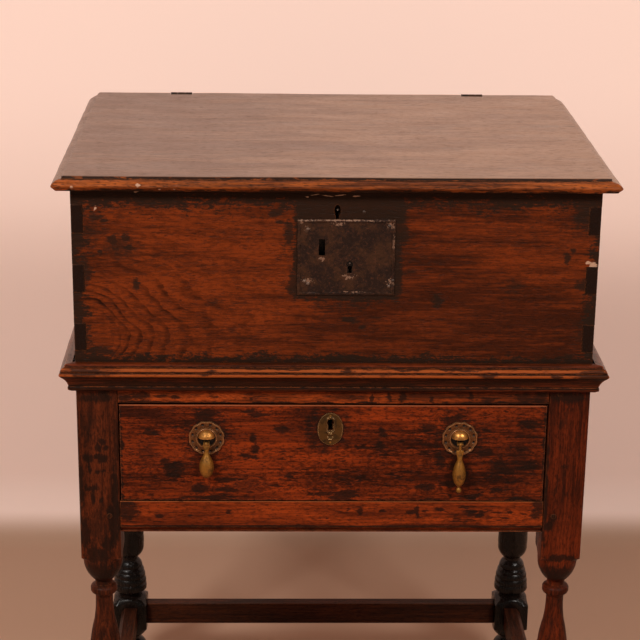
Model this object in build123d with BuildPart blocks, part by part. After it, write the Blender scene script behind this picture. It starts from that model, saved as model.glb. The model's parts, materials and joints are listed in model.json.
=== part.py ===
from build123d import *

import os

# An oak bible box with a hinged lid, on a joined stand with one drawer.
# Millimetres, +Z up, the front faces -Y. The origin is on the floor, in the middle of the plan.

# ---- Overall sizes ----
stand_height = 640.0  # floor to the top of the moulding round the box
lip = 5.0  # the moulding stands this far up round the foot of the box
frame_top = stand_height - lip

box_width = 610.0
box_depth = 448.0
box_height = 215.0
end_board = 16.0  # thickness of the front and back boards
side_board = 14.0
bottom_board = 10.0

lid_thickness = 16.0
lid_gap = 0.4  # air between the lid and the boards it shuts on
lid_front_overhang = 19.1
lid_side_overhang = 19.8
lid_back_overhang = 7.2
lid_corner = 16.0  # rounding of the two back corners in plan

leg = 49.0
stand_width = 611.0  # over the legs
leg_spacing = 388.0  # between leg axes, front to back

hinge_reach = 9.2  # the hinge barrels stand this far behind the box
box_front = -(box_depth + hinge_reach - lid_front_overhang) / 2
box_back = box_front + box_depth
box_bottom = frame_top
box_top = box_bottom + box_height
half_box = box_width / 2

stand_front = box_front + 1.5
stand_back = stand_front + leg_spacing + leg
half_stand = stand_width / 2
leg_inner = half_stand - leg
leg_x = half_stand - leg / 2
front_leg_y = stand_front + leg / 2
back_leg_y = front_leg_y + leg_spacing

# ---- Stand members ----
top_rail_height = 47.5
apron_height = 216.0
drawer_front_height = 124.0
bottom_rail_height = 41.5
rail_thickness = 24.0
apron_thickness = 22.0
apron_bottom = frame_top - apron_height
bottom_rail_top = apron_bottom + bottom_rail_height
top_rail_bottom = frame_top - top_rail_height
bead_height = 7.0  # the run moulding on the lower edge of rail and aprons
tenon_thickness = 8.0
tenon_length = 25.0
tenon_shoulder = 5.0
peg_radius = 3.6
peg_inset = 13.0  # from the edge of the leg
peg_proud = 0.6
peg_length = 34.0

stretcher_height = 32.0
stretcher_thickness = 22.0
stretcher_middle = 98.0

# ---- Drawer ----
drawer_side_gap = 1.2
drawer_bottom_gap = 0.8
drawer_half = leg_inner - drawer_side_gap
drawer_bottom = bottom_rail_top + drawer_bottom_gap
drawer_top = drawer_bottom + drawer_front_height
drawer_front_board = 20.0
drawer_board = 10.0
drawer_length = 368.0
drawer_panel = 7.0
drawer_groove = 5.0
drawer_inner_front = stand_front + drawer_front_board
drawer_back = stand_front + drawer_length
drawer_side_top = drawer_top - 4.0
drawer_side_bottom = drawer_bottom + 0.6

# ---- Ironwork and brasswork ----
hinge_x = 199.0
hinge_width = 29.0
hinge_leaf = 2.5
barrel_radius = 4.4
pin_radius = 2.0
pin_clearance = 0.06
hinge_y = box_back + hinge_reach - barrel_radius
hinge_z = box_top + lid_gap + lid_thickness - 3.0

key_hole_radius = 2.7
key_slot_width = 3.4
key_slot_drop = 9.0
slide_clearance = 0.3

rosette_x = 151.5
rosette_z = stand_height - 96.5
rosette_radius = 21.5
drop_pivot_reach = 9.8  # in front of the drawer
drop_pivot_z = rosette_z - 4.0

os.makedirs("parts", exist_ok=True)


# ---- Drawing planes and repeated shapes ----
def front_plane(y):
    """A plane at depth y, drawn in X and Z, that extrudes towards the front."""
    return Plane.XZ.offset(-y)


def side_plane(x):
    """A plane at x, drawn in Y and Z, that extrudes towards +X."""
    return Plane.YZ.offset(x)


def block(low, high, mode=Mode.ADD):
    """Squared stuff between two opposite corners."""
    size = [b - a for a, b in zip(low, high)]
    middle = tuple((a + b) / 2 for a, b in zip(low, high))
    with Locations(middle):
        Box(*size, mode=mode)


def outline(*points):
    """A closed straight-sided outline as a face of the current sketch."""
    Polygon(*points, align=None)


def back_plane(y):
    """A plane at depth y that extrudes towards the back; its own x runs towards -X."""
    return Plane(origin=(0, y, 0), x_dir=(-1, 0, 0), z_dir=(0, 1, 0))


def under_plane(z):
    """A plane at height z that extrudes downwards; its own y runs towards the front."""
    return Plane(origin=(0, 0, z), x_dir=(1, 0, 0), z_dir=(0, 0, -1))


def save(piece, label):
    """Name a finished piece and write it."""
    piece.part.label = label
    export_step(piece.part, f"parts/{label}.step")


def key_hole(x, z):
    """A keyhole outline in the current sketch: a round eye over a slot."""
    with Locations((x, z)):
        Circle(key_hole_radius)
    with Locations((x, z - key_slot_drop / 2)):
        Rectangle(key_slot_width, key_slot_drop)


# ---- Pegs ----
# Riven oak pegs, roughly eight-sided, one through each tenon cheek.
rail_peg_z = (frame_top - 35, apron_bottom + 22)
apron_peg_z = (frame_top - 60, apron_bottom + 45)
peg_rise = peg_radius * 2 + 0.4
front_peg_x = leg_inner + peg_inset
side_peg_y = (stand_front + leg - peg_inset, stand_back - leg + peg_inset)
side_peg_length = leg - peg_inset

with BuildPart() as pegs:
    with BuildSketch(front_plane(stand_front - peg_proud)):
        for z in (*rail_peg_z, stretcher_middle):
            with Locations((-front_peg_x, z), (front_peg_x, z)):
                RegularPolygon(peg_radius, 8)
    extrude(amount=-peg_length)
    with BuildSketch(front_plane(stand_back + peg_proud)):
        for z in (*apron_peg_z, stretcher_middle):
            with Locations((-front_peg_x, z), (front_peg_x, z)):
                RegularPolygon(peg_radius, 8)
    extrude(amount=peg_length)
    for side in (-1, 1):
        with BuildSketch(side_plane(side * (half_stand + peg_proud))):
            for z in (*apron_peg_z, stretcher_middle):
                with Locations(*[(y, z + peg_rise) for y in side_peg_y]):
                    RegularPolygon(peg_radius, 8)
        extrude(amount=-side * side_peg_length)
save(pegs, "joint_pegs")


# ---- Rails, aprons and stretchers ----
def tenons(length, height, middle, bottom):
    """Two tenons along X beyond a rail of this length, centred on this depth."""
    for side in (-1, 1):
        end = side * length / 2
        low_x, high_x = sorted((end, end + side * tenon_length))
        low = (low_x, middle - tenon_thickness / 2, bottom + tenon_shoulder)
        high = (high_x, middle + tenon_thickness / 2, bottom + height - tenon_shoulder)
        block(low, high)


def side_tenons(low_y, high_y, height, middle, bottom):
    """Two tenons along Y beyond a side member, centred on this x."""
    for start, end in ((low_y - tenon_length, low_y), (high_y, high_y + tenon_length)):
        low = (middle - tenon_thickness / 2, start, bottom + tenon_shoulder)
        high = (middle + tenon_thickness / 2, end, bottom + height - tenon_shoulder)
        block(low, high)


def beaded_section(face, inward, bottom, height, thickness):
    """Section of a rail whose lower outer edge carries an ovolo between two fillets."""
    top = bottom + height
    back = face + inward * thickness
    with BuildLine() as section:
        Polyline(
            (face, bottom + bead_height),
            (face, top),
            (back, top),
            (back, bottom),
            (face + inward * 2.6, bottom),
            (face + inward * 2.6, bottom + 1.4),
            (face + inward * 4.6, bottom + 1.4),
        )
        ThreePointArc(
            (face + inward * 4.6, bottom + 1.4),
            (face + inward * 2.6, bottom + 4.6),
            (face + inward * 1.2, bottom + bead_height - 1.2),
        )
        Polyline(
            (face + inward * 1.2, bottom + bead_height - 1.2),
            (face + inward * 1.2, bottom + bead_height),
            (face, bottom + bead_height),
        )
    make_face(section.edges())


front_tenon_y = stand_front + rail_thickness / 2
bolt_x = -3.8
bolt_y = drawer_inner_front + 6.0
bolt_mortise = 10.0

with BuildPart() as top_front_rail:
    with BuildSketch(side_plane(0)):
        with Locations((stand_front + rail_thickness / 2, frame_top - top_rail_height / 2)):
            Rectangle(rail_thickness, top_rail_height)
    extrude(amount=leg_inner, both=True)
    tenons(2 * leg_inner, top_rail_height, front_tenon_y, top_rail_bottom)
    # The mortise that receives the drawer lock's bolt, open at the back of the rail.
    block(
        (bolt_x - 9, bolt_y - 3.5, top_rail_bottom),
        (bolt_x + 9, stand_front + rail_thickness, top_rail_bottom + bolt_mortise),
        Mode.SUBTRACT,
    )
    add(pegs.part, mode=Mode.SUBTRACT)
save(top_front_rail, "top_front_rail")

with BuildPart() as bottom_front_rail:
    with BuildSketch(side_plane(0)):
        beaded_section(stand_front, 1, apron_bottom, bottom_rail_height, rail_thickness)
    extrude(amount=leg_inner, both=True)
    tenons(2 * leg_inner, bottom_rail_height, front_tenon_y, apron_bottom)
    add(pegs.part, mode=Mode.SUBTRACT)
save(bottom_front_rail, "bottom_front_rail")

apron_front = stand_front + leg
apron_back = stand_back - leg
side_tenon_x = half_stand - apron_thickness / 2

with BuildPart() as right_apron:
    with BuildSketch(front_plane(apron_back)):
        beaded_section(half_stand, -1, apron_bottom, apron_height, apron_thickness)
    extrude(amount=apron_back - apron_front)
    side_tenons(apron_front, apron_back, apron_height, side_tenon_x, apron_bottom)
    add(pegs.part, mode=Mode.SUBTRACT)
save(right_apron, "right_apron")

with BuildPart() as left_apron:
    mirror(right_apron.part, about=Plane.YZ)
save(left_apron, "left_apron")

with BuildPart() as back_apron:
    block(
        (-leg_inner, stand_back - apron_thickness, apron_bottom),
        (leg_inner, stand_back, frame_top),
    )
    tenons(2 * leg_inner, apron_height, stand_back - apron_thickness / 2, apron_bottom)
    add(pegs.part, mode=Mode.SUBTRACT)
save(back_apron, "back_apron")

stretcher_low = stretcher_middle - stretcher_height / 2
stretcher_top = stretcher_middle + stretcher_height / 2
stretcher_chamfer = 5.0


def stretcher_section(middle, outer):
    """Section of a stretcher, its upper outer edge chamfered; outer is +1 or -1."""
    near = middle + outer * stretcher_thickness / 2
    far = middle - outer * stretcher_thickness / 2
    outline(
        (near, stretcher_low),
        (near, stretcher_top - stretcher_chamfer),
        (near - outer * stretcher_chamfer, stretcher_top),
        (far, stretcher_top),
        (far, stretcher_low),
    )


for end, leg_y, outer in (("front", front_leg_y, -1), ("back", back_leg_y, 1)):
    with BuildPart() as cross_stretcher:
        with BuildSketch(side_plane(0)):
            stretcher_section(leg_y, outer)
        extrude(amount=leg_inner, both=True)
        tenons(2 * leg_inner, stretcher_height, leg_y + outer * 5, stretcher_low)
        add(pegs.part, mode=Mode.SUBTRACT)
    save(cross_stretcher, f"{end}_stretcher")
    if end == "front":
        front_stretcher = cross_stretcher
    else:
        back_stretcher = cross_stretcher

with BuildPart() as right_stretcher:
    with BuildSketch(front_plane(apron_back)):
        stretcher_section(leg_x, 1)
    extrude(amount=apron_back - apron_front)
    side_tenons(apron_front, apron_back, stretcher_height, leg_x + 5, stretcher_low)
    add(pegs.part, mode=Mode.SUBTRACT)
save(right_stretcher, "right_stretcher")

with BuildPart() as left_stretcher:
    mirror(right_stretcher.part, about=Plane.YZ)
save(left_stretcher, "left_stretcher")

joined_members = (
    top_front_rail,
    bottom_front_rail,
    right_apron,
    left_apron,
    back_apron,
    front_stretcher,
    back_stretcher,
    right_stretcher,
    left_stretcher,
)

# ---- Legs ----
# Radius and height of each turned element, from the top down, with the bulge of the curve
# that leads to it. Where the radius clears the corners the leg stays square.
square = leg * 0.72
turning = (
    (square, frame_top, 0),
    (square, 384, 0),
    (24.4, 376, 0),
    (11.0, 346, 3.6),
    (11.0, 340, 0),
    (14.0, 338, 0),
    (16.5, 333, 0),
    (14.0, 328, 0),
    (11.5, 326, 0),
    (10.8, 318, 0),
    (13.2, 290, 0),
    (19.8, 240, 1.5),
    (21.2, 222, 0),
    (21.0, 207, 0),
    (12.2, 188, 3.2),
    (12.2, 184, 0),
    (18.6, 173, 1.5),
    (17.4, 172, 0),
    (21.0, 166, 0),
    (19.8, 165, 0),
    (22.8, 157, 0),
    (21.4, 156, 0),
    (24.0, 148, 0),
    (22.6, 147, 0),
    (24.4, 140, 0),
    (24.4, 137, 0),
    (17.0, 131, 0),
    (17.0, 128, 0),
    (24.4, 123, 0),
    (square, 117, 0),
    (square, 78, 0),
    (24.4, 72, 0),
    (13.0, 60, 2.0),
    (13.0, 55, 0),
    (16.0, 53, 0),
    (23.0, 34, 3.0),
    (17.0, 10, 4.0),
    (18.0, 8, 0),
    (18.0, 0, 0),
)

with BuildPart() as turned_leg:
    with BuildSketch(Plane.XY):
        Rectangle(leg, leg)
    extrude(amount=frame_top)
    with BuildSketch(Plane.XZ):
        with BuildLine():
            Line((0, 0), (turning[-1][0], 0))
            for (r0, z0, _), (r1, z1, bulge) in zip(turning, turning[1:]):
                if bulge:
                    SagittaArc((r1, z1), (r0, z0), -bulge)
                else:
                    Line((r1, z1), (r0, z0))
            Line((square, frame_top), (0, frame_top))
            Line((0, frame_top), (0, 0))
        make_face()
    revolve(axis=Axis.Z, mode=Mode.INTERSECT)

for end, y in (("front", front_leg_y), ("back", back_leg_y)):
    for side, x in (("left", -leg_x), ("right", leg_x)):
        with BuildPart() as one_leg:
            add(turned_leg.part.moved(Location((x, y, 0))))
            for member in joined_members:
                add(member.part, mode=Mode.SUBTRACT)
            add(pegs.part, mode=Mode.SUBTRACT)
        save(one_leg, f"{end}_{side}_leg")

# ---- Moulding round the top of the stand ----
moulding_depth = 35.6
nose = 18.1  # the moulding's greatest projection from the legs


def moulding_section(face, outward):
    """Ovolo over a bead over a cove; the back lies on the leg at this face."""

    def at(reach, drop):
        return (face + outward * reach, stand_height - drop)

    with BuildLine() as section:
        Polyline(
            at(4.5, moulding_depth),
            at(0, moulding_depth),
            at(0, 0),
            at(10.6, 0),
            at(11.4, 0.8),
            at(11.4, 3.0),
            at(12.2, 3.4),
        )
        ThreePointArc(at(12.2, 3.4), at(15.0, 5.0), at(16.2, 8.0))
        Polyline(at(16.2, 8.0), at(15.6, 8.8), at(16.6, 9.4))
        ThreePointArc(at(16.6, 9.4), at(nose, 11.4), at(16.8, 13.6))
        Line(at(16.8, 13.6), at(16.0, 15.0))
        ThreePointArc(at(16.0, 15.0), at(11.2, 20.8), at(7.6, 28.8))
        Polyline(
            at(7.6, 28.8),
            at(8.4, 28.8),
            at(8.4, 32.4),
            at(4.5, moulding_depth),
        )
    make_face(section.edges())


recess_half = half_box + 3.4
recess_front = box_front - 0.5
reach = half_stand + nose + 2
moulding_back = box_back - 2

with BuildPart() as front_moulding:
    with BuildSketch(side_plane(0)):
        moulding_section(stand_front, -1)
    extrude(amount=reach, both=True)
    with BuildSketch(Plane.XY.offset(stand_height + 1)):
        outline(
            (-half_stand - nose - 2, stand_front - nose - 2),
            (half_stand + nose + 2, stand_front - nose - 2),
            (half_stand, stand_front),
            (-half_stand, stand_front),
        )
    extrude(amount=-moulding_depth - 2, mode=Mode.INTERSECT)
    block(
        (-recess_half, recess_front, frame_top),
        (recess_half, stand_front + 1, stand_height + 1),
        Mode.SUBTRACT,
    )
save(front_moulding, "front_moulding")

with BuildPart() as right_moulding:
    with BuildSketch(front_plane(moulding_back)):
        moulding_section(half_stand, 1)
    extrude(amount=moulding_back - stand_front + nose + 2)
    with BuildSketch(Plane.XY.offset(stand_height + 1)):
        outline(
            (half_stand, stand_front),
            (half_stand + nose + 2, stand_front - nose - 2),
            (half_stand + nose + 2, moulding_back),
            (half_stand, moulding_back),
        )
    extrude(amount=-moulding_depth - 2, mode=Mode.INTERSECT)
    block(
        (half_stand - 1, recess_front, frame_top),
        (recess_half, moulding_back + 1, stand_height + 1),
        Mode.SUBTRACT,
    )
save(right_moulding, "right_moulding")

with BuildPart() as left_moulding:
    mirror(right_moulding.part, about=Plane.YZ)
save(left_moulding, "left_moulding")

with BuildPart() as back_batten:
    block(
        (-half_stand, stand_back, frame_top - 40),
        (half_stand, moulding_back, frame_top),
    )
save(back_batten, "back_batten")

# ---- Drawer runners and stops ----
runner_inner = drawer_half - 22
runner_top = drawer_side_bottom - 0.3
guide_top = runner_top + 14
runner_outer = half_stand - apron_thickness

with BuildPart() as right_runner:
    with BuildSketch(front_plane(apron_back)):
        outline(
            (runner_inner, runner_top - 18),
            (runner_outer, runner_top - 18),
            (runner_outer, guide_top),
            (leg_inner, guide_top),
            (leg_inner, runner_top),
            (runner_inner, runner_top),
        )
    extrude(amount=apron_back - apron_front)
save(right_runner, "right_runner")

with BuildPart() as left_runner:
    mirror(right_runner.part, about=Plane.YZ)
save(left_runner, "left_runner")

with BuildPart() as drawer_stops:
    block(
        (runner_inner, drawer_back + 0.4, runner_top),
        (drawer_half, apron_back, runner_top + 16),
    )
    mirror(about=Plane.YZ)
save(drawer_stops, "drawer_stops")

# ---- Box carcase ----
tail_pitch = box_height / 3
tail_half = 17.0
tail_flare = 2.5


def dovetail(root, tip, middle, half, flare):
    """A tail in the current sketch, from its root to its wider tip."""
    outline(
        (root, middle - half + flare),
        (tip, middle - half),
        (tip, middle + half),
        (root, middle + half - flare),
    )


with BuildPart() as box_right_side:
    with BuildSketch(side_plane(half_box - side_board)):
        with Locations((box_front + box_depth / 2, box_bottom + box_height / 2)):
            Rectangle(box_depth - 2 * end_board, box_height)
        for row in range(3):
            middle = box_top - (row + 0.5) * tail_pitch
            dovetail(box_front + end_board, box_front, middle, tail_half, tail_flare)
            dovetail(box_back - end_board, box_back, middle, tail_half, tail_flare)
    extrude(amount=side_board)
save(box_right_side, "box_right_side")

with BuildPart() as box_left_side:
    mirror(box_right_side.part, about=Plane.YZ)
save(box_left_side, "box_left_side")

with BuildPart() as box_bottom_board:
    block(
        (-half_box + side_board, box_front + end_board, box_bottom),
        (half_box - side_board, box_back - end_board, box_bottom + bottom_board),
    )
save(box_bottom_board, "box_bottom_board")

# ---- Old iron lock on the front ----
plate_left = -42.5
plate_right = 67.5
plate_bottom = stand_height + 84.0
plate_top = stand_height + 173.5
plate_thickness = 1.4
plate_rim = 2.4
rim_height = 1.2
hasp_slot_x = -16.7
hasp_slot_z = stand_height + 142.0
hasp_slot_width = 6.2
hasp_slot_height = 19.0
iron_key_x = 16.0
iron_key_z = stand_height + 117.0
works_left = -30.0
works_right = 46.0
works_bottom = stand_height + 98.0
works_top = stand_height + 158.0
works_depth = 13.0
iron_bolt_height = 7.0
iron_bolt_y = (box_front + 4.0, box_front + 8.0)
iron_bolt_length = 36.0
iron_bolt_left = -9.0
iron_bolt_throw = 15.0

nail_places = (
    (-33.2, stand_height + 163.5),
    (-32.8, stand_height + 98.0),
    (61.0, stand_height + 167.5),
    (61.5, stand_height + 95.5),
    (30.9, stand_height + 184.1),
)
nail_head = 3.2
nail_head_height = 1.6
nail_shank = 2.2
nail_length = 14.0


def nails(plane, places, length=nail_length):
    """Hand-forged nails: faceted heads on square shanks, driven in from a drawing plane."""
    with BuildSketch(plane) as heads:
        with Locations(*places):
            RegularPolygon(nail_head, 7)
    extrude(heads.sketch, amount=nail_head_height, taper=32)
    with BuildSketch(plane) as shanks:
        with Locations(*places):
            Rectangle(nail_shank, nail_shank)
    extrude(shanks.sketch, amount=-length)


with BuildPart() as iron_lock_nails:
    nails(front_plane(box_front - plate_thickness), nail_places[:4])
    nails(front_plane(box_front), nail_places[4:])
save(iron_lock_nails, "iron_lock_nails")

with BuildPart() as iron_lock_plate:
    plate_middle = ((plate_left + plate_right) / 2, (plate_bottom + plate_top) / 2)
    plate_size = (plate_right - plate_left, plate_top - plate_bottom)
    with BuildSketch(front_plane(box_front)):
        with Locations(plate_middle):
            Rectangle(*plate_size)
    extrude(amount=plate_thickness)
    with BuildSketch(front_plane(box_front - plate_thickness)):
        with Locations(plate_middle):
            Rectangle(*plate_size)
            Rectangle(*[s - 2 * plate_rim for s in plate_size], mode=Mode.SUBTRACT)
    extrude(amount=rim_height)
    with BuildSketch(front_plane(box_front)):
        with Locations((hasp_slot_x, hasp_slot_z)):
            Rectangle(hasp_slot_width, hasp_slot_height)
        key_hole(iron_key_x, iron_key_z)
    extrude(amount=plate_thickness, mode=Mode.SUBTRACT)
    add(iron_lock_nails.part, mode=Mode.SUBTRACT)
save(iron_lock_plate, "iron_lock_plate")

with BuildPart() as iron_lock_case:
    block(
        (works_left, box_front, works_bottom),
        (works_right, box_front + works_depth, works_top),
    )
    # Pocket behind the slot, for the staple of the hasp.
    block(
        (hasp_slot_x - 4.5, box_front, hasp_slot_z - 11),
        (hasp_slot_x + 4.5, box_front + 11, hasp_slot_z + 11),
        Mode.SUBTRACT,
    )
    # Channel in which the bolt slides, and the room below it where the key turns.
    block(
        (
            iron_bolt_left - iron_bolt_throw - 1,
            iron_bolt_y[0] - slide_clearance,
            hasp_slot_z - iron_bolt_height / 2 - slide_clearance,
        ),
        (
            iron_bolt_left + iron_bolt_length + 1,
            iron_bolt_y[1] + slide_clearance,
            hasp_slot_z + iron_bolt_height / 2 + slide_clearance,
        ),
        Mode.SUBTRACT,
    )
    block(
        (iron_key_x - 8, box_front + 3, iron_key_z - 12),
        (iron_key_x + 8, box_front + 9, hasp_slot_z),
        Mode.SUBTRACT,
    )
    with BuildSketch(front_plane(box_front)):
        key_hole(iron_key_x, iron_key_z)
    extrude(amount=-9, mode=Mode.SUBTRACT)
save(iron_lock_case, "iron_lock_case")

with BuildPart() as iron_lock_bolt:
    block(
        (iron_bolt_left, iron_bolt_y[0], hasp_slot_z - iron_bolt_height / 2),
        (iron_bolt_left + iron_bolt_length, iron_bolt_y[1], hasp_slot_z + iron_bolt_height / 2),
    )
    # Notch that the key's bit catches.
    block(
        (iron_key_x - 4, iron_bolt_y[0], hasp_slot_z - iron_bolt_height / 2),
        (iron_key_x + 2, iron_bolt_y[1], hasp_slot_z - iron_bolt_height / 2 + 2.5),
        Mode.SUBTRACT,
    )
save(iron_lock_bolt, "iron_lock_bolt")

# ---- Box lock inside the top edge, with the link plate under the lid ----
box_key_x = 0.5
box_key_z = stand_height + 184.0
case_half = 34.0
case_thickness = 12.0
case_height = 42.0
link_x = -22.0
link_width = 9.0
link_half = 4.5  # across the bolt
link_eye_half = 3.0
link_drop = 16.0
case_front = box_front + end_board
case_middle = case_front + case_thickness / 2
box_bolt_z = box_top - 10.0
box_bolt_half = 2.5
box_bolt_left = -12.0
box_bolt_length = 34.0
box_bolt_throw = 14.0

with BuildPart() as box_lock_case:
    block(
        (-case_half, case_front, box_top - case_height),
        (case_half, case_front + case_thickness, box_top - 0.2),
    )
    block(
        (link_x - link_width / 2 - 1.5, case_middle - link_half - 0.6, box_top - link_drop - 2),
        (link_x + link_width / 2 + 1.5, case_middle + link_half + 0.6, box_top),
        Mode.SUBTRACT,
    )
    block(
        (
            box_bolt_left - box_bolt_throw - 5,
            case_middle - box_bolt_half - slide_clearance,
            box_bolt_z - box_bolt_half - slide_clearance,
        ),
        (
            box_bolt_left + box_bolt_length + 1,
            case_middle + box_bolt_half + slide_clearance,
            box_bolt_z + box_bolt_half + slide_clearance,
        ),
        Mode.SUBTRACT,
    )
    block(
        (box_key_x - 8, case_middle - 3, box_key_z - 12),
        (box_key_x + 8, case_middle + 3, box_bolt_z),
        Mode.SUBTRACT,
    )
    with BuildSketch(front_plane(case_front)):
        key_hole(box_key_x, box_key_z)
    extrude(amount=-9, mode=Mode.SUBTRACT)
save(box_lock_case, "box_lock_case")

with BuildPart() as box_lock_bolt:
    block(
        (box_bolt_left, case_middle - box_bolt_half, box_bolt_z - box_bolt_half),
        (
            box_bolt_left + box_bolt_length,
            case_middle + box_bolt_half,
            box_bolt_z + box_bolt_half,
        ),
    )
save(box_lock_bolt, "box_lock_bolt")

lid_bottom = box_top + lid_gap
lid_top = lid_bottom + lid_thickness

with BuildPart() as lid_link_plate:
    block(
        (link_x - 18, case_middle - 6, lid_bottom),
        (link_x + 18, case_middle + 6, lid_bottom + 2),
    )
    block(
        (link_x - link_width / 2, case_middle - link_half, box_top - link_drop),
        (link_x + link_width / 2, case_middle + link_half, lid_bottom),
    )
    # The eye of the staple, which the bolt enters.
    block(
        (link_x - link_width, case_middle - link_eye_half, box_bolt_z - link_eye_half),
        (link_x + link_width, case_middle + link_eye_half, box_bolt_z + link_eye_half),
        Mode.SUBTRACT,
    )
save(lid_link_plate, "lid_link_plate")

# ---- Front and back boards of the box ----
with BuildPart() as box_front_board:
    block(
        (-half_box, box_front, box_bottom),
        (half_box, box_front + end_board, box_top),
    )
    for piece in (box_left_side, box_right_side, iron_lock_nails):
        add(piece.part, mode=Mode.SUBTRACT)
    block(
        (works_left, box_front, works_bottom),
        (works_right, box_front + works_depth, works_top),
        Mode.SUBTRACT,
    )
    with BuildSketch(front_plane(box_front)):
        key_hole(box_key_x, box_key_z)
    extrude(amount=-end_board, mode=Mode.SUBTRACT)
save(box_front_board, "box_front_board")

# ---- Hinges ----
leaf_length = 88.0
lid_leaf_length = 74.0
web_y = box_back - 3.2
barrel_gap = 0.3
hinge_nail_z = (box_top - 30, box_top - 52, box_top - 74)
lid_nail_y = (box_back - 35, box_back - 62)


def barrel(x_low, x_high, radius, mode=Mode.ADD):
    """A length of hinge barrel, pin or bore on the hinge line."""
    with BuildSketch(side_plane(x_low)) as ring:
        with Locations((hinge_y, hinge_z)):
            Circle(radius)
    extrude(ring.sketch, amount=x_high - x_low, mode=mode)


box_leaf_low = box_top - leaf_length
lid_leaf_front = box_back - lid_leaf_length
lid_nail_length = 10.0
third = hinge_width / 3
hinges = []

for side, centre in (("left", -hinge_x), ("right", hinge_x)):
    low_x = centre - hinge_width / 2
    high_x = centre + hinge_width / 2

    with BuildPart() as hinge_pin:
        barrel(low_x - 0.3, high_x + 0.3, pin_radius)
    save(hinge_pin, f"{side}_hinge_pin")

    with BuildPart() as box_leaf_nails:
        nails(back_plane(box_back + hinge_leaf), [(-centre, z) for z in hinge_nail_z])
    save(box_leaf_nails, f"{side}_box_leaf_nails")

    with BuildPart() as box_leaf:
        block(
            (low_x, box_back, box_leaf_low),
            (high_x, box_back + hinge_leaf, hinge_z - barrel_radius - 0.8),
        )
        for start in (low_x, high_x - third + barrel_gap):
            end = start + third - barrel_gap
            block(
                (start, box_back, hinge_z - barrel_radius - 1),
                (end, box_back + hinge_leaf, hinge_z),
            )
            barrel(start, end, barrel_radius)
        barrel(low_x, high_x, pin_radius, Mode.SUBTRACT)
        add(box_leaf_nails.part, mode=Mode.SUBTRACT)
    save(box_leaf, f"{side}_box_leaf")

    with BuildPart() as lid_leaf_nails:
        nails(under_plane(lid_bottom), [(centre, -y) for y in lid_nail_y], lid_nail_length)
    save(lid_leaf_nails, f"{side}_lid_leaf_nails")

    with BuildPart() as lid_leaf:
        block(
            (low_x, lid_leaf_front, lid_bottom),
            (high_x, web_y + hinge_leaf, lid_bottom + hinge_leaf),
        )
        block((low_x, web_y, lid_bottom), (high_x, web_y + hinge_leaf, hinge_z + 1.2))
        block(
            (low_x + third, web_y, hinge_z - 1.2),
            (high_x - third, hinge_y, hinge_z + 1.2),
        )
        barrel(low_x + third, high_x - third, barrel_radius)
        barrel(low_x, high_x, pin_radius + pin_clearance, Mode.SUBTRACT)
        add(lid_leaf_nails.part, mode=Mode.SUBTRACT)
    save(lid_leaf, f"{side}_lid_leaf")

    hinges.append((centre, box_leaf_nails, lid_leaf_nails))

with BuildPart() as box_back_board:
    block(
        (-half_box, box_back - end_board, box_bottom),
        (half_box, box_back, box_top),
    )
    for piece in (box_left_side, box_right_side):
        add(piece.part, mode=Mode.SUBTRACT)
    for _, back_nails, _ in hinges:
        add(back_nails.part, mode=Mode.SUBTRACT)
save(box_back_board, "box_back_board")

# ---- Lid ----
lid_front = box_front - lid_front_overhang
lid_back = box_back + lid_back_overhang
half_lid = half_box + lid_side_overhang


def lid_edge(tip, inward):
    """The moulded edge, from the top's arris round the thumb to the underside."""

    def at(reach, drop):
        return (tip + inward * reach, lid_top - drop)

    Polyline(at(11.5, 0), at(11.5, 3.2), at(10.4, 3.4))
    ThreePointArc(at(10.4, 3.4), at(4.4, 4.9), at(0.3, 8.4))
    ThreePointArc(at(0.3, 8.4), at(0.0, 9.8), at(1.0, 11.2))
    ThreePointArc(at(1.0, 11.2), at(3.2, 13.6), at(4.8, lid_thickness))


with BuildPart() as lid:
    with BuildSketch(side_plane(0)):
        with BuildLine():
            lid_edge(lid_front, 1)
            Polyline(
                (lid_front + 4.8, lid_bottom),
                (lid_back, lid_bottom),
                (lid_back, lid_top),
                (lid_front + 11.5, lid_top),
            )
        make_face()
    extrude(amount=half_lid, both=True)
    with BuildSketch(front_plane(0)):
        with BuildLine():
            lid_edge(half_lid, -1)
            Line((half_lid - 4.8, lid_bottom), (4.8 - half_lid, lid_bottom))
            lid_edge(-half_lid, 1)
            Line((11.5 - half_lid, lid_top), (half_lid - 11.5, lid_top))
        make_face()
    extrude(amount=box_depth, both=True, mode=Mode.INTERSECT)
    # The two back corners are rounded in plan.
    with BuildSketch(Plane.XY.offset(lid_bottom - 1)):
        with Locations((0, (lid_front + lid_back) / 2 - 1)):
            Rectangle(2 * half_lid + 2, lid_back - lid_front + 2)
        fillet(vertices().group_by(Axis.Y)[-1], lid_corner)
    extrude(amount=lid_thickness + 2, mode=Mode.INTERSECT)
    for centre, _, leaf_nails in hinges:
        low_x = centre - hinge_width / 2
        high_x = centre + hinge_width / 2
        # Notch in the back edge for the barrels, and the seat let into the underside.
        block(
            (low_x - 0.8, web_y, lid_bottom - 1),
            (high_x + 0.8, lid_back + 1, lid_top + 1),
            Mode.SUBTRACT,
        )
        block(
            (low_x, lid_leaf_front, lid_bottom),
            (high_x, web_y, lid_bottom + hinge_leaf),
            Mode.SUBTRACT,
        )
        add(leaf_nails.part, mode=Mode.SUBTRACT)
    add(lid_link_plate.part, mode=Mode.SUBTRACT)
save(lid, "lid")

# ---- Drawer ----
panel_low = drawer_side_bottom + 6.0
panel_top = panel_low + drawer_panel
lap = 6.0  # the front covers the ends of the side tails by this much
drawer_tail_half = 17.0
drawer_inner_half = drawer_half - drawer_board

with BuildPart() as drawer_bottom_board:
    block(
        (-drawer_inner_half - drawer_groove, drawer_inner_front - drawer_groove, panel_low),
        (drawer_inner_half + drawer_groove, drawer_back, panel_top),
    )
save(drawer_bottom_board, "drawer_bottom_board")

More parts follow.
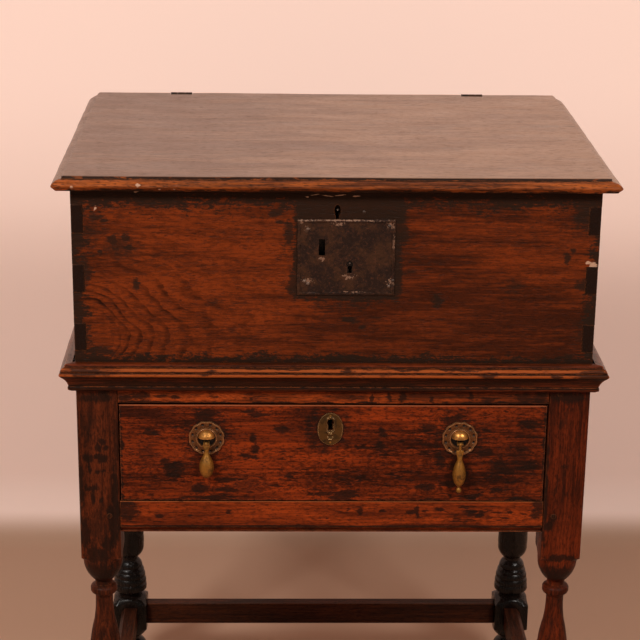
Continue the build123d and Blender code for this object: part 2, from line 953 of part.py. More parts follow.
with BuildPart() as drawer_right_side:
    side_height = drawer_side_top - drawer_side_bottom
    with BuildSketch(side_plane(drawer_inner_half)):
        with Locations(
            (
                (drawer_inner_front + drawer_back - drawer_board) / 2,
                drawer_side_bottom + side_height / 2,
            )
        ):
            Rectangle(drawer_back - drawer_board - drawer_inner_front, side_height)
        for middle in (drawer_side_bottom + 34, drawer_side_top - 26):
            dovetail(drawer_inner_front, stand_front + lap, middle, drawer_tail_half, 3)
            dovetail(drawer_back - drawer_board, drawer_back, middle, drawer_tail_half, 2)
    extrude(amount=drawer_board)
    add(drawer_bottom_board.part, mode=Mode.SUBTRACT)
save(drawer_right_side, "drawer_right_side")

with BuildPart() as drawer_left_side:
    mirror(drawer_right_side.part, about=Plane.YZ)
save(drawer_left_side, "drawer_left_side")

with BuildPart() as drawer_back_board:
    block(
        (-drawer_half, drawer_back - drawer_board, panel_top),
        (drawer_half, drawer_back, drawer_side_top - 3),
    )
    add(drawer_right_side.part, mode=Mode.SUBTRACT)
    add(drawer_left_side.part, mode=Mode.SUBTRACT)
save(drawer_back_board, "drawer_back_board")

# ---- Drawer lock ----
drawer_key_z = stand_height - 77.0
drawer_bolt_top = drawer_top - 0.8
drawer_bolt_height = 20.0
drawer_bolt_half_width = 7.0
drawer_bolt_half = 2.0
drawer_case_half = 32.0
drawer_case_height = 46.0
drawer_case_thickness = 12.0

with BuildPart() as drawer_lock_case:
    block(
        (bolt_x - drawer_case_half, drawer_inner_front, drawer_top - drawer_case_height),
        (
            bolt_x + drawer_case_half,
            drawer_inner_front + drawer_case_thickness,
            drawer_top - 0.5,
        ),
    )
    block(
        (
            bolt_x - drawer_bolt_half_width - slide_clearance,
            bolt_y - drawer_bolt_half - slide_clearance,
            drawer_bolt_top - drawer_bolt_height - slide_clearance,
        ),
        (
            bolt_x + drawer_bolt_half_width + slide_clearance,
            bolt_y + drawer_bolt_half + slide_clearance,
            drawer_top,
        ),
        Mode.SUBTRACT,
    )
    block(
        (bolt_x - 8, bolt_y - 3, drawer_key_z - 15),
        (bolt_x + 8, bolt_y + 3, drawer_bolt_top - drawer_bolt_height),
        Mode.SUBTRACT,
    )
    with BuildSketch(front_plane(drawer_inner_front)):
        key_hole(bolt_x, drawer_key_z)
    extrude(amount=-6, mode=Mode.SUBTRACT)
save(drawer_lock_case, "drawer_lock_case")

with BuildPart() as drawer_lock_bolt:
    block(
        (
            bolt_x - drawer_bolt_half_width,
            bolt_y - drawer_bolt_half,
            drawer_bolt_top - drawer_bolt_height,
        ),
        (bolt_x + drawer_bolt_half_width, bolt_y + drawer_bolt_half, drawer_bolt_top),
    )
save(drawer_lock_bolt, "drawer_lock_bolt")

# ---- Escutcheon ----
escutcheon_z = stand_height - 84.6
escutcheon_thickness = 1.6
pin_places = ((bolt_x, escutcheon_z + 17.0), (bolt_x, escutcheon_z - 16.8))

with BuildPart() as escutcheon_pins:
    with BuildSketch(front_plane(stand_front - escutcheon_thickness)):
        with Locations(*pin_places):
            Circle(1.5)
    extrude(amount=0.7, taper=30)
    with BuildSketch(front_plane(stand_front - escutcheon_thickness)):
        with Locations(*pin_places):
            Rectangle(1.2, 1.2)
    extrude(amount=-12)
save(escutcheon_pins, "escutcheon_pins")

with BuildPart() as escutcheon:
    with BuildSketch(front_plane(stand_front)):
        with Locations((bolt_x, escutcheon_z)):
            Ellipse(15.6, 20.8)
    extrude(amount=escutcheon_thickness)
    chamfer(escutcheon.faces().sort_by(Axis.Y)[0].edges(), 0.9)
    with BuildSketch(front_plane(stand_front)):
        key_hole(bolt_x, drawer_key_z)
    extrude(amount=escutcheon_thickness, mode=Mode.SUBTRACT)
    add(escutcheon_pins.part, mode=Mode.SUBTRACT)
save(escutcheon, "escutcheon")

# ---- Drop pulls ----
wire = 1.7
wire_spread = 2.7  # from the middle of the cotter to each leg
clinch = 9.0
eye_radius = 3.0
eye_hole = 1.6
eye_thickness = 3.0
pivot_y = stand_front - drop_pivot_reach
dome_radius = 12.4
dome_height = 11.0
dome_wall = 1.3
cleft_half = 5.8
lobe_count = 12

# Radius and distance below the pivot, from the neck down to the last ball, whose bottom follows.
left_drop_shape = (
    (1.5, 2.4),
    (4.2, 6.6),
    (3.1, 12.5),
    (2.5, 17.5),
    (4.4, 22.0),
    (6.9, 29.0),
    (8.3, 34.0),
    (8.6, 38.0),
)
left_drop_bottom = 46.0
right_drop_shape = (
    (1.5, 2.4),
    (4.0, 7.0),
    (2.8, 14.0),
    (2.3, 20.0),
    (4.2, 25.0),
    (6.7, 33.0),
    (7.8, 39.0),
    (7.6, 44.0),
    (5.6, 51.0),
    (3.2, 55.0),
    (1.4, 57.2),
    (2.6, 60.0),
)
right_drop_bottom = 62.6


def cotter_leg(x):
    """One leg of a cotter, from the crossbar through the drawer front to its clinched end."""
    low, high = x - wire / 2, x + wire / 2
    block(
        (low, pivot_y - wire / 2, drop_pivot_z - wire / 2),
        (high, drawer_inner_front + wire, drop_pivot_z + wire / 2),
    )


cotters = []

for side, centre, shape, bottom in (
    ("left", -rosette_x, left_drop_shape, left_drop_bottom),
    ("right", rosette_x, right_drop_shape, right_drop_bottom),
):
    with BuildPart() as cotter:
        for direction in (-1, 1):
            cotter_leg(centre + direction * wire_spread)
            start, end = sorted((centre + direction * wire_spread, centre + direction * clinch))
            block(
                (start, drawer_inner_front, drop_pivot_z - wire / 2),
                (end, drawer_inner_front + wire, drop_pivot_z + wire / 2),
            )
        block(
            (centre - wire_spread, pivot_y - wire / 2, drop_pivot_z - wire / 2),
            (centre + wire_spread, pivot_y + wire / 2, drop_pivot_z + wire / 2),
        )
    save(cotter, f"{side}_cotter")
    cotters.append(cotter)

    with BuildPart() as rosette:
        with BuildSketch(side_plane(centre)):
            with BuildLine():
                Polyline(
                    (stand_front, rosette_z),
                    (stand_front, rosette_z + rosette_radius),
                    (stand_front - 1.2, rosette_z + rosette_radius - 0.6),
                    (stand_front - 1.2, rosette_z + 16.4),
                    (stand_front - 2.6, rosette_z + 15.0),
                    (stand_front - 2.6, rosette_z + 14.0),
                    (stand_front - 1.4, rosette_z + dome_radius + 0.4),
                    (stand_front - 1.4, rosette_z + dome_radius),
                )
                TangentArc(
                    (stand_front - dome_height, rosette_z),
                    (stand_front - 1.4, rosette_z + dome_radius),
                    tangent=(0, 1),
                )
                Line((stand_front - dome_height, rosette_z), (stand_front, rosette_z))
            make_face()
        revolve(axis=Axis((centre, 0, rosette_z), (0, 1, 0)))
        with BuildSketch(side_plane(centre)):
            with BuildLine():
                Polyline(
                    (stand_front - dome_height + dome_wall, rosette_z),
                    (stand_front - 1.4, rosette_z),
                    (stand_front - 1.4, rosette_z + dome_radius - 1.5),
                )
                TangentArc(
                    (stand_front - dome_height + dome_wall, rosette_z),
                    (stand_front - 1.4, rosette_z + dome_radius - 1.5),
                    tangent=(0, 1),
                )
            make_face()
        revolve(axis=Axis((centre, 0, rosette_z), (0, 1, 0)), mode=Mode.SUBTRACT)
        # The cleft that lets the neck of the drop hang down and swing forward.
        block(
            (centre - cleft_half, stand_front - 14, rosette_z - dome_radius - 3),
            (centre + cleft_half, stand_front - 1.4, drop_pivot_z + 4.0),
            Mode.SUBTRACT,
        )
        with BuildSketch(front_plane(stand_front)):
            with Locations((centre, rosette_z)):
                with PolarLocations(rosette_radius + 0.8, lobe_count):
                    RegularPolygon(2.4, 6)
                with PolarLocations(17.9, lobe_count, start_angle=180 / lobe_count):
                    RegularPolygon(1.1, 6)
        extrude(amount=3, mode=Mode.SUBTRACT)
        add(cotter.part, mode=Mode.SUBTRACT)
    save(rosette, f"{side}_rosette")

    with BuildPart() as drop:
        with BuildSketch(front_plane(pivot_y)):
            with BuildLine():
                points = [(centre + r, drop_pivot_z - down) for r, down in shape]
                end = (centre, drop_pivot_z - bottom)
                Polyline(end, (centre, points[0][1]), *points)
                TangentArc(end, points[-1], tangent=(1, 0))
            make_face()
        revolve(axis=Axis((centre, pivot_y, 0), (0, 0, 1)))
        with BuildSketch(side_plane(centre)):
            with Locations((pivot_y, drop_pivot_z)):
                Circle(eye_radius)
        extrude(amount=eye_thickness / 2, both=True)
        with BuildSketch(side_plane(centre)):
            with Locations((pivot_y, drop_pivot_z)):
                Circle(eye_hole)
        extrude(amount=eye_thickness, both=True, mode=Mode.SUBTRACT)
    save(drop, f"{side}_drop")

# ---- Drawer front ----
with BuildPart() as drawer_front:
    block(
        (-drawer_half, stand_front, drawer_bottom),
        (drawer_half, drawer_inner_front, drawer_top),
    )
    chamfer(drawer_front.faces().sort_by(Axis.Y)[0].edges(), 1.0)
    for piece in (drawer_left_side, drawer_right_side, drawer_bottom_board):
        add(piece.part, mode=Mode.SUBTRACT)
    for piece in (*cotters, escutcheon_pins):
        add(piece.part, mode=Mode.SUBTRACT)
    with BuildSketch(front_plane(stand_front)):
        key_hole(bolt_x, drawer_key_z)
    extrude(amount=-drawer_front_board, mode=Mode.SUBTRACT)
save(drawer_front, "drawer_front")
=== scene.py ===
import json
from math import asin, atan2, cos, exp, hypot, pi, radians, sin, sqrt

import bmesh
import bpy
from mathutils import Matrix, Vector, noise


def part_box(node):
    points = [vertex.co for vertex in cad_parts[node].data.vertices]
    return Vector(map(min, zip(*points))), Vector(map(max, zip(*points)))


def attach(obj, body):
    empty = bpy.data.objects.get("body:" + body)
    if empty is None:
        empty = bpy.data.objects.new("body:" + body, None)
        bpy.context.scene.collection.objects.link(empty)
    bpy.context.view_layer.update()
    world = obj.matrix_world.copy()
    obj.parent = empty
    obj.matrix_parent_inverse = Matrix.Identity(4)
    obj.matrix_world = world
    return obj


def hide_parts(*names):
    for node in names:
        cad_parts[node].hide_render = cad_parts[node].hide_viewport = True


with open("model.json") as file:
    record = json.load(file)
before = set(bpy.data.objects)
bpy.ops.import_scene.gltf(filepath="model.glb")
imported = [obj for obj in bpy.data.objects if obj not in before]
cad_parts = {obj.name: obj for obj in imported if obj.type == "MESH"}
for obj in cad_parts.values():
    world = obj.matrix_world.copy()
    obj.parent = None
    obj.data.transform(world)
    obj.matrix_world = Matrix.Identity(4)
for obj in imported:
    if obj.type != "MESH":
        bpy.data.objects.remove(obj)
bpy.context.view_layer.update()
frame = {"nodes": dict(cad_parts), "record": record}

MM = 0.001
CRISP = radians(38)  # edges that turn by more than this stay crisp


def extent(node):
    """Lowest and highest corner of a solid, in millimetres."""
    low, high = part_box(node)
    return low / MM, high / MM


# ---- Places taken from the solids, in millimetres ----
STAND_HEIGHT = extent("front_moulding")[1].z
MOULDING_BACK = extent("left_moulding")[1].y
BOX_FRONT = extent("box_front_board")[0].y
HALF_BOX = extent("box_front_board")[1].x
BOX_BACK = extent("box_back_board")[1].y
LEG_LOW, LEG_HIGH = extent("front_right_leg")
LEG = LEG_HIGH.x - LEG_LOW.x
STAND_FRONT = LEG_LOW.y
HALF_STAND = LEG_HIGH.x
LID_LOW, LID_HIGH = extent("lid")
PLATE_LOW, PLATE_HIGH = extent("iron_lock_plate")
DRAWER_FRONT = extent("drawer_front")[0].y
SHIELD_LOW, SHIELD_HIGH = extent("escutcheon")
SHIELD_X, SHIELD_Z = (SHIELD_LOW.x + SHIELD_HIGH.x) / 2, (SHIELD_LOW.z + SHIELD_HIGH.z) / 2
SLOTS = {entry["node"]: entry["material_slot"] for entry in frame["record"]["subparts"]}
BODIES = {node: name for name, nodes in frame["record"]["behaviour"]["bodies"].items() for node in nodes}


# ---- Node wiring ----
def srgb(rgb, dim=1):
    """A display colour from 0 to 255 as linear light."""
    levels = [c * dim for c in rgb]
    return tuple(((c / 255 + 0.055) / 1.055) ** 2.4 if c > 10 else c / 3294.6 for c in levels) + (1.0,)


class Graph:
    """Wires one material. Arguments are sockets or plain values."""

    def __init__(self, name):
        self.material = bpy.data.materials.new(name)
        self.material.use_nodes = True
        self.nodes = self.material.node_tree.nodes
        self.links = self.material.node_tree.links
        self.shader = self.nodes["Principled BSDF"]
        self.coords = self.nodes.new("ShaderNodeTexCoord").outputs["Object"]

    def feed(self, socket, value):
        if isinstance(value, bpy.types.NodeSocket):
            self.links.new(value, socket)
        else:
            socket.default_value = value

    def node(self, kind, *values, **settings):
        """A new node with its settings, and values fed to its first sockets."""
        node = self.nodes.new("ShaderNode" + kind)
        for name, setting in settings.items():
            setattr(node, name, setting)
        for socket, value in zip(node.inputs, values):
            self.feed(socket, value)
        return node

    def feed_all(self, node, values):
        """Feeds a node's sockets by name and gives the node back."""
        for name, value in values.items():
            self.feed(node.inputs[name], value)
        return node

    def math(self, operation, *values):
        return self.node("Math", *values, operation=operation).outputs[0]

    def times(self, first, *others):
        """The product of the values."""
        for value in others:
            first = self.math("MULTIPLY", first, value)
        return first

    def most(self, first, *others):
        """The largest of the values."""
        for value in others:
            first = self.math("MAXIMUM", first, value)
        return first

    def least(self, first, *others):
        """The smallest of the values."""
        for value in others:
            first = self.math("MINIMUM", first, value)
        return first

    def total(self, *weighted):
        """The sum of (value, weight) pairs."""
        result = 0.0
        for value, weight in weighted:
            result = self.math("MULTIPLY_ADD", value, weight, result)
        return result

    def vector(self, operation, *values):
        node = self.node("VectorMath", *values, operation=operation)
        return node.outputs["Value" if operation in ("LENGTH", "DOT_PRODUCT") else "Vector"]

    def split(self, vector):
        return self.node("SeparateXYZ", vector).outputs

    def texture(self, vector, scale, detail, rough=0.5, bend=0.0):
        values = {"Vector": vector, "Scale": scale, "Detail": detail, "Roughness": rough, "Distortion": bend}
        return self.feed_all(self.node("TexNoise"), values).outputs

    def noise(self, vector, scale, detail, rough, bend=0.0):
        return self.texture(vector, scale, detail, rough, bend)["Fac"]

    def drift(self, vector, amount, detail=3.0):
        """A vector offset of about this size that wanders over the surface."""
        colour = self.texture(vector, 1.0, detail)["Color"]
        return self.vector("MULTIPLY_ADD", colour, (amount,) * 3, (-amount / 2,) * 3)

    def fade(self, value, low, high, to_low=0.0, to_high=1.0):
        """A smooth step of value from low to high."""
        steps = (value, low, high, to_low, to_high)
        return self.node("MapRange", *steps, interpolation_type="SMOOTHSTEP").outputs[0]

    def mix(self, factor, a, b):
        """A colour between a and b; a Mix node's colour sockets are 6 and 7, and its result is 2."""
        node = self.node("Mix", factor, data_type="RGBA")
        self.feed(node.inputs[6], a)
        self.feed(node.inputs[7], b)
        return node.outputs[2]

    def blots(self, vector, places):
        """How far outside the nearest of several ellipses a point lies; 1 is on its edge."""
        distances = []
        for x, z, rx, rz in places:
            size = (1 / (rx * MM), 0.0, 1 / (rz * MM))
            shift = (-x / rx, 0.0, -z / rz)
            distances.append(self.vector("LENGTH", self.vector("MULTIPLY_ADD", vector, size, shift)))
        return self.least(*distances)

    def bands(self, vector, places):
        """How many widths away the nearest of several lines lies: (axis, place, width) in mm."""
        parts = self.split(vector)
        distances = []
        for axis, place, width in places:
            offset = self.math("SUBTRACT", parts["XYZ".index(axis)], place * MM)
            distances.append(self.times(self.math("ABSOLUTE", offset), 1 / (width * MM)))
        return self.least(*distances)

    def rims(self, vector, places):
        """How many widths outside the nearest rectangle a point lies: (x, z, half x, half z, width)."""
        parts = self.split(vector)
        distances = []
        for x, z, half_x, half_z, width in places:
            sides = []
            for part, middle, half in ((parts[0], x, half_x), (parts[2], z, half_z)):
                offset = self.math("ABSOLUTE", self.math("SUBTRACT", part, middle * MM))
                sides.append(self.math("SUBTRACT", offset, half * MM))
            distances.append(self.times(self.most(*sides), 1 / (width * MM)))
        return self.least(*distances)

    def hollow(self, reach, low, high, inverse=False):
        """1 deep in corners and joints, 0 in the open; or the inverse."""
        node = self.node("AmbientOcclusion", samples=4)
        node.inputs["Distance"].default_value = reach * MM
        return self.fade(node.outputs["AO"], low, high, 1.0 - inverse, float(inverse))

    def arris(self, radius=1.2):
        """1 on edges, found where a rounded normal leaves the true one."""
        rounded = self.node("Bevel", radius * MM, samples=4).outputs[0]
        true = self.node("NewGeometry").outputs["Normal"]
        return self.fade(self.vector("DOT_PRODUCT", rounded, true), 0.995, 0.93)

    def bump(self, height, distance, strength, under=None):
        """A bumped normal; under is the normal that it starts from."""
        values = {"Height": height, "Distance": distance * MM, "Strength": strength}
        if under is not None:
            values["Normal"] = under
        return self.feed_all(self.node("Bump"), values).outputs["Normal"]

    def finish(self, colour, rough, normal, gloss=0.5, metal=0.0):
        """Connects the shader and gives back the material."""
        values = {"Base Color": colour, "Roughness": rough, "Normal": normal}
        self.feed_all(self.shader, values | {"Specular IOR Level": gloss, "Metallic": metal})
        return self.material


class Wood(Graph):
    """Wires one board's material, with its grain along X, Y or Z."""

    GRAIN = {"X": (0, 1, 2), "Y": (1, 0, 2), "Z": (2, 1, 0)}  # along, across and up

    def __init__(self, name, grain, seed):
        super().__init__(name)
        self.along, self.across, self.up = self.GRAIN[grain]
        self.place = self.vector("ADD", self.coords, (seed * 1.7, seed * 0.9, seed * 1.3))

    def stretched(self, along, across):
        """Coordinates scaled by one number along the grain and by the other across it."""
        scale = [across] * 3
        scale[self.along] = along
        return self.vector("MULTIPLY", self.place, tuple(scale))

    def streaks(self, along, across, detail=3.0, rough=0.55, bend=0.0):
        """Noise drawn out along the grain."""
        return self.noise(self.stretched(along, across), 1.0, detail, rough, bend)

    def arches(self, x, z, stretch, reach, rate, strength):
        """Ring count and strength of a cathedral of arches about one point."""
        parts = self.split(self.coords)
        off = self.math("ABSOLUTE", self.math("SUBTRACT", parts[self.along], x * MM))
        away = self.math("SUBTRACT", 1.0, self.math("EXPONENT", self.times(off, -1 / (reach * MM))))
        away = self.times(away, reach / stretch)
        rise = self.times(self.math("SUBTRACT", parts[self.up], z * MM), 1 / MM)
        square = self.math("MULTIPLY_ADD", away, away, self.times(rise, rise))
        strength = self.times(
            self.fade(off, 0.08, 0.24, strength, strength * 0.3),
            self.fade(square, 300, 2400),
            self.fade(rise, 40, 100, 1.0, 0.4),
        )
        return self.times(self.math("POWER", square, 0.25), rate), strength

    def growth_rings(self, width, strength, figure):
        """Dark lines that a plain-sawn board shows as arches, or as straight streaks."""
        if figure:
            count, strength = self.arches(*figure, strength)
            thin, faint = 0.45, 0.55
        else:
            parts = self.split(self.place)
            count = self.math("MULTIPLY_ADD", parts[self.across], 0.8, parts[self.up])
            count = self.times(count, 1 / (width * MM))
            thin, faint = 0.25, 0.3
        bend, ripple = self.streaks(4, 14, 2.0), self.streaks(30, 60, 3.0, 0.6)
        turn = self.math("FRACT", self.total((count, 1.0), (bend, 18 / width), (ripple, 1.1)))
        line = self.times(self.fade(turn, 0.45, 0.85), self.fade(turn, 1.0, 0.93))
        broken = self.fade(self.streaks(45, 150, 2.0, 0.6), 0.38, 0.58, thin, 1.0)
        swell = self.fade(self.streaks(7, 22, 2.0), 0.38, 0.62, faint, 1.0)
        return self.times(line, broken, swell, strength)

    def marks_and_shade(self, darkening, tear, marks, faint, bands, lines, rims):
        """Dirt and painted shade with all its marks, their edges torn into spots along the grain."""
        warped = self.vector("ADD", self.coords, self.drift(self.stretched(40, 80), 0.012, 4.0))
        for measure, vector, places, torn, outside, inside, strength in (
            (self.blots, warped, marks, 0.6, 1.35, 0.6, 0.86),
            (self.blots, warped, faint, 0.8, 1.15, 0.1, 0.6),
            (self.bands, warped, bands, 0.7, 1.15, 0.7, 0.94),
            (self.bands, self.coords, lines, 0.35, 1.2, 0.7, 0.9),
            (self.rims, warped, rims, 0.5, 1.25, 0.8, 0.94),
        ):
            if places:
                away = self.total((measure(vector, places), 1.0), (tear, torn))
                darkening = self.most(darkening, self.fade(away, outside, inside, 0.0, strength))
        return darkening, warped


def oak(
    name, grain="X", light=(112, 46, 18), dark=(72, 29, 13), stain_and_shade=(30, 18, 13), worn=(150, 84, 44), seed=0.0,
    figure=None, ring=(5.0, 0.4), fleck=0.5, dash=0.55, patches=0.4, marks=(), faint=(), pale=(), shade=(),
    bands=(), lines=(), rims=(), wear_and_highlight_bands=(), mottle=0.0, rough=0.42, gloss=0.08, crevice=0.7, wear=0.35,
):
    """Old oak: growth rings, fibres, pores, dirt, wax, painted shade and painted highlights.

    figure is (x, z, stretch, reach, rate) of a cathedral; ring is (width in mm, strength).
    marks, faint and pale are (x, z, rx, rz) ellipses in mm, the pale ones bare chips and painted glints;
    shade is (x, z, rx, rz, amount). bands and lines are (axis, place, width) dark strips, ragged and
    straight, some of them painted shade; rims are dark strips round a plate; wear_and_highlight_bands
    are strips of the front painted pale, partly rubbed wood and partly painted highlight.
    """
    g = Wood(name, grain, seed)
    line = g.growth_rings(*ring, figure)

    # Fibres and broad changes of tone.
    fibre, fine = g.streaks(18, 420, 4.0, 0.65), g.streaks(90, 1700, 2.0, 0.6)
    tone, streak = g.streaks(5, 24, 5.0, 0.62), g.streaks(14, 190, 3.0, 0.6)
    dashes = g.fade(g.streaks(120, 620, 2.0), 0.52, 0.66)
    pores = g.fade(g.streaks(95, 800, 1.0, 0.5), 0.60, 0.70)
    field = g.streaks(10, 30)
    flecks = g.fade(g.total((g.streaks(55, 260, 2.0, 0.6, 0.3), 1.0), (field, 0.6)), 0.92, 1.0)
    blend = g.fade(g.total((fibre, 0.9), (tone, 1.4), (streak, 1.0)), 1.3, 2.0)
    for *ellipse, amount in shade:
        away = g.blots(g.vector("ADD", g.coords, g.drift(g.stretched(8, 20), 0.05)), (ellipse,))
        blend = g.math("ADD", blend, g.fade(away, 0.2, 1.25, amount, 0.0))
    colour = g.mix(g.most(g.least(blend, 1.0), 0.0), srgb(dark), srgb(light))
    colour = g.mix(line, colour, srgb(dark, 0.42))
    colour = g.mix(g.times(dashes, dash), colour, srgb(dark, 0.5))
    colour = g.mix(g.times(pores, 0.45), colour, srgb(dark, 0.5))
    colour = g.mix(g.times(flecks, fleck), colour, srgb(stain_and_shade))
    if mottle:
        spots = g.total((g.streaks(150, 290, 4.0, 0.7), 1.0), (field, 0.35))
        colour = g.mix(g.fade(spots, 0.65, 0.76, 0.0, mottle), colour, srgb(dark, 0.55))

    # Dirt, painted shade in hollows and joints, wear and painted highlights.
    ragged, torn = g.streaks(36, 70, 4.0, 0.7), g.streaks(120, 260, 4.0, 0.75)
    tear = g.total((ragged, 2.6), (torn, 4.2), (fibre, 1.6), (1.0, -4.2))
    cloud = g.streaks(9, 22, 5.0, 0.65)
    darkening = g.fade(g.total((tear, 0.16), (cloud, 1.0)), 0.60, 0.72, 0.0, patches)
    # Strips facing the front painted in the worn colour: partly rubbed wood, partly painted highlight.
    if wear_and_highlight_bands:
        facing = g.split(g.node("NewGeometry").outputs["Normal"])[1]
        near = g.total((g.bands(g.coords, wear_and_highlight_bands), 1.0), (tear, 0.3))
        near = g.times(g.fade(near, 1.2, 0.5, 0.0, 0.7), g.fade(facing, -0.1, -0.4))
        colour = g.mix(near, colour, srgb(worn))
    darkening, warped = g.marks_and_shade(darkening, tear, marks, faint, bands, lines, rims)
    # Painted shade: darker in corners, joints and recesses by the occlusion, as much as crevice.
    darkening = g.most(darkening, g.times(g.hollow(12, 0.3, 0.85), crevice))
    colour = g.mix(g.least(darkening, 1.0), colour, srgb(stain_and_shade))
    rubbed = g.times(g.arris(), g.fade(torn, 0.40, 0.56, 0.0, wear), g.hollow(8, 0.35, 0.6, True))
    colour = g.mix(rubbed, colour, srgb(worn))
    # Pale ellipses: bare wood at chips and painted glints along the edges.
    if pale:
        near = g.total((g.blots(warped, pale), 1.0), (tear, 0.5))
        colour = g.mix(g.fade(near, 1.0, 0.6, 0.0, 0.85), colour, srgb((198, 156, 130)))

    sheen = g.total((g.streaks(14, 30), 0.24), (pores, 0.12), (darkening, -0.06), (1.0, rough - 0.12))
    relief = g.total((pores, -0.8), (fine, 0.3), (fibre, 0.5), (flecks, -0.6), (line, -0.4), (torn, 0.3))
    swells = g.bump(g.streaks(6, 24, 2.0), 2.0, 0.3)
    return g.finish(colour, sheen, g.bump(relief, 0.4, 0.7, swells), gloss)


def iron(
    name, light=(66, 45, 32), dark=(34, 24, 18), rust=(78, 40, 24), worn=(112, 96, 82), edge=0.8, rubbed=(),
):
    """Old forged iron with a waxy brown skin.

    edge is the width in mm and the strength of the wear on its ridges; rubbed are pale ellipses, bare metal
    and painted glints.
    """
    g = Graph(name)
    broad = g.noise(g.coords, 48.0, 6.0, 0.7)
    small = g.noise(g.coords, 300.0, 4.0, 0.65)
    colour = g.mix(g.fade(broad, 0.44, 0.60), srgb(dark), srgb(light))
    colour = g.mix(g.fade(small, 0.52, 0.68, 0.0, 0.6), colour, srgb(rust))
    colour = g.mix(g.times(g.hollow(6, 0.3, 0.9), 0.8), colour, srgb((18, 13, 10)))
    colour = g.mix(g.times(g.arris(edge), g.fade(small, 0.44, 0.58, 0.0, edge)), colour, srgb(worn))
    # Pale ellipses of the worn colour: bare metal and painted glints.
    if rubbed:
        near = g.total((g.blots(g.coords, rubbed), 1.0), (small, 7.0))
        colour = g.mix(g.fade(near, 4.4, 3.8, 0.0, 0.85), colour, srgb(worn))
    relief = g.bump(g.total((broad, 1.0), (small, 0.4)), 0.8, 0.8)
    return g.finish(colour, g.fade(small, 0.3, 0.7, 0.36, 0.6), relief, 0.35, 0.35)


def brass(name, light, dark, rough, metal, bright):
    """Old brass, dull brown in the hollows; its edges are pale, rubbed bright by handling and a painted
    highlight.
    """
    g = Graph(name)
    broad = g.noise(g.coords, 130.0, 4.0, 0.6)
    small = g.noise(g.coords, 800.0, 3.0, 0.6)
    darkening = g.most(g.hollow(4, 0.35, 0.9), g.fade(broad, 0.46, 0.70, 0.0, 0.7))
    colour = g.mix(darkening, srgb(light), srgb(dark))
    # Pale edges: rubbed brass and painted highlight.
    colour = g.mix(g.times(g.arris(0.5), bright), colour, srgb((222, 176, 124)))
    dulled = g.total((darkening, 0.3), (small, 0.14), (1.0, rough - 0.07))
    return g.finish(colour, dulled, g.bump(small, 0.2, 0.5), metal=metal)


# ---- Meshes ----
def add(name, data):
    """A new object in the scene."""
    thing = bpy.data.objects.new(name, data)
    bpy.context.scene.collection.objects.link(thing)
    return thing


def new_piece(name, mesh, body, slot, material, *nodes):
    """A finished piece: linked, painted and riding on its body."""
    piece = add(name, mesh)
    mesh.materials.clear()
    mesh.materials.append(material)
    mesh.shade_smooth()
    mesh.set_sharp_from_angle(angle=CRISP)
    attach(piece, body)
    if nodes:
        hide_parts(*nodes)
    return piece


def mesh_of(bm, name):
    """The mesh made from a bmesh, which is then freed."""
    mesh = bpy.data.meshes.new(name)
    bm.to_mesh(mesh)
    bm.free()
    return mesh


def mesh_from(name, points, faces):
    """A mesh from points in millimetres, joined where they coincide, with faces turned outwards."""
    bm = bmesh.new()
    vertices = [bm.verts.new([c * MM for c in p]) for p in points]
    for face in faces:
        corners = list(dict.fromkeys(vertices[i] for i in face))
        if len(corners) > 2:
            bm.faces.new(corners)
    bmesh.ops.remove_doubles(bm, verts=bm.verts, dist=1e-6)
    bmesh.ops.dissolve_degenerate(bm, dist=1e-7, edges=bm.edges)
    bmesh.ops.recalc_face_normals(bm, faces=bm.faces)
    return mesh_of(bm, name)


def grid(rows, columns, start=0, wrap=False):
    """Quads between rows of points; wrap joins the last column to the first."""
    faces = []
    for r in range(rows - 1):
        for c in range(columns if wrap else columns - 1):
            a, b = start + r * columns + c, start + r * columns + (c + 1) % columns
            faces.append((a, b, b + columns, a + columns))
    return faces


def tube(rows, columns):
    """Quads of a closed row carried along, with a face over each end."""
    last = (rows - 1) * columns
    ends = [tuple(range(columns)), tuple(range(last, last + columns))]
    return grid(rows, columns, wrap=True) + ends


def border(rows, columns):
    """The outer points of a grid, once round."""
    ring = list(range(columns)) + [r * columns + columns - 1 for r in range(1, rows)]
    ring += [(rows - 1) * columns + c for c in range(columns - 2, -1, -1)]
    return ring + [r * columns for r in range(rows - 2, 0, -1)]


def wall(ring, offset):
    """Quads between a ring of points and the same ring further on in the list."""
    return [(a, b, b + offset, a + offset) for a, b in zip(ring, ring[1:] + ring[:1])]


def turns(count):
    """Even angles once round."""
    return [2 * pi * k / count for k in range(count)]


def wobble(x, y, z, size, amount, seed=0.0):
    """Smooth noise of about this amount over features of this size, all in mm."""
    return 2 * amount * noise.noise(Vector((x, y, z)) / size + Vector((seed, seed * 2.3, seed * 3.7)))


def peak(distance, width):
    """1 at no distance, falling away over about this width."""
    return exp(-((distance / width) ** 2))


def between(value, table):
    """Straight interpolation in a table of (place, value) rows."""
    for (a, u), (b, v) in zip(table, table[1:]):
        if value <= b:
            return u + (v - u) * max(0.0, value - a) / (b - a)
    return table[-1][1]


def spaced(low, high, step):
    """Even places from low to high, both included."""
    count = max(1, round((high - low) / step))
    return [low + (high - low) * i / count for i in range(count + 1)]


def arc(a, b, bulge, steps):
    """Points from a to b, a left out, on an arc that swells to the left of the way by bulge."""
    (x0, y0), (x1, y1) = a, b
    chord = hypot(x1 - x0, y1 - y0)
    half = 2 * atan2(2 * abs(bulge), chord)
    points = []
    for i in range(1, steps + 1):
        angle = half * (2 * i / steps - 1)
        across = (cos(angle) - cos(half)) / max(1e-9, 1 - cos(half)) * bulge / chord
        way = (sin(angle) / sin(half) + 1) / 2
        x, y = x0 + (x1 - x0) * way - (y1 - y0) * across, y0 + (y1 - y0) * way + (x1 - x0) * across
        points.append((x, y))
    return points


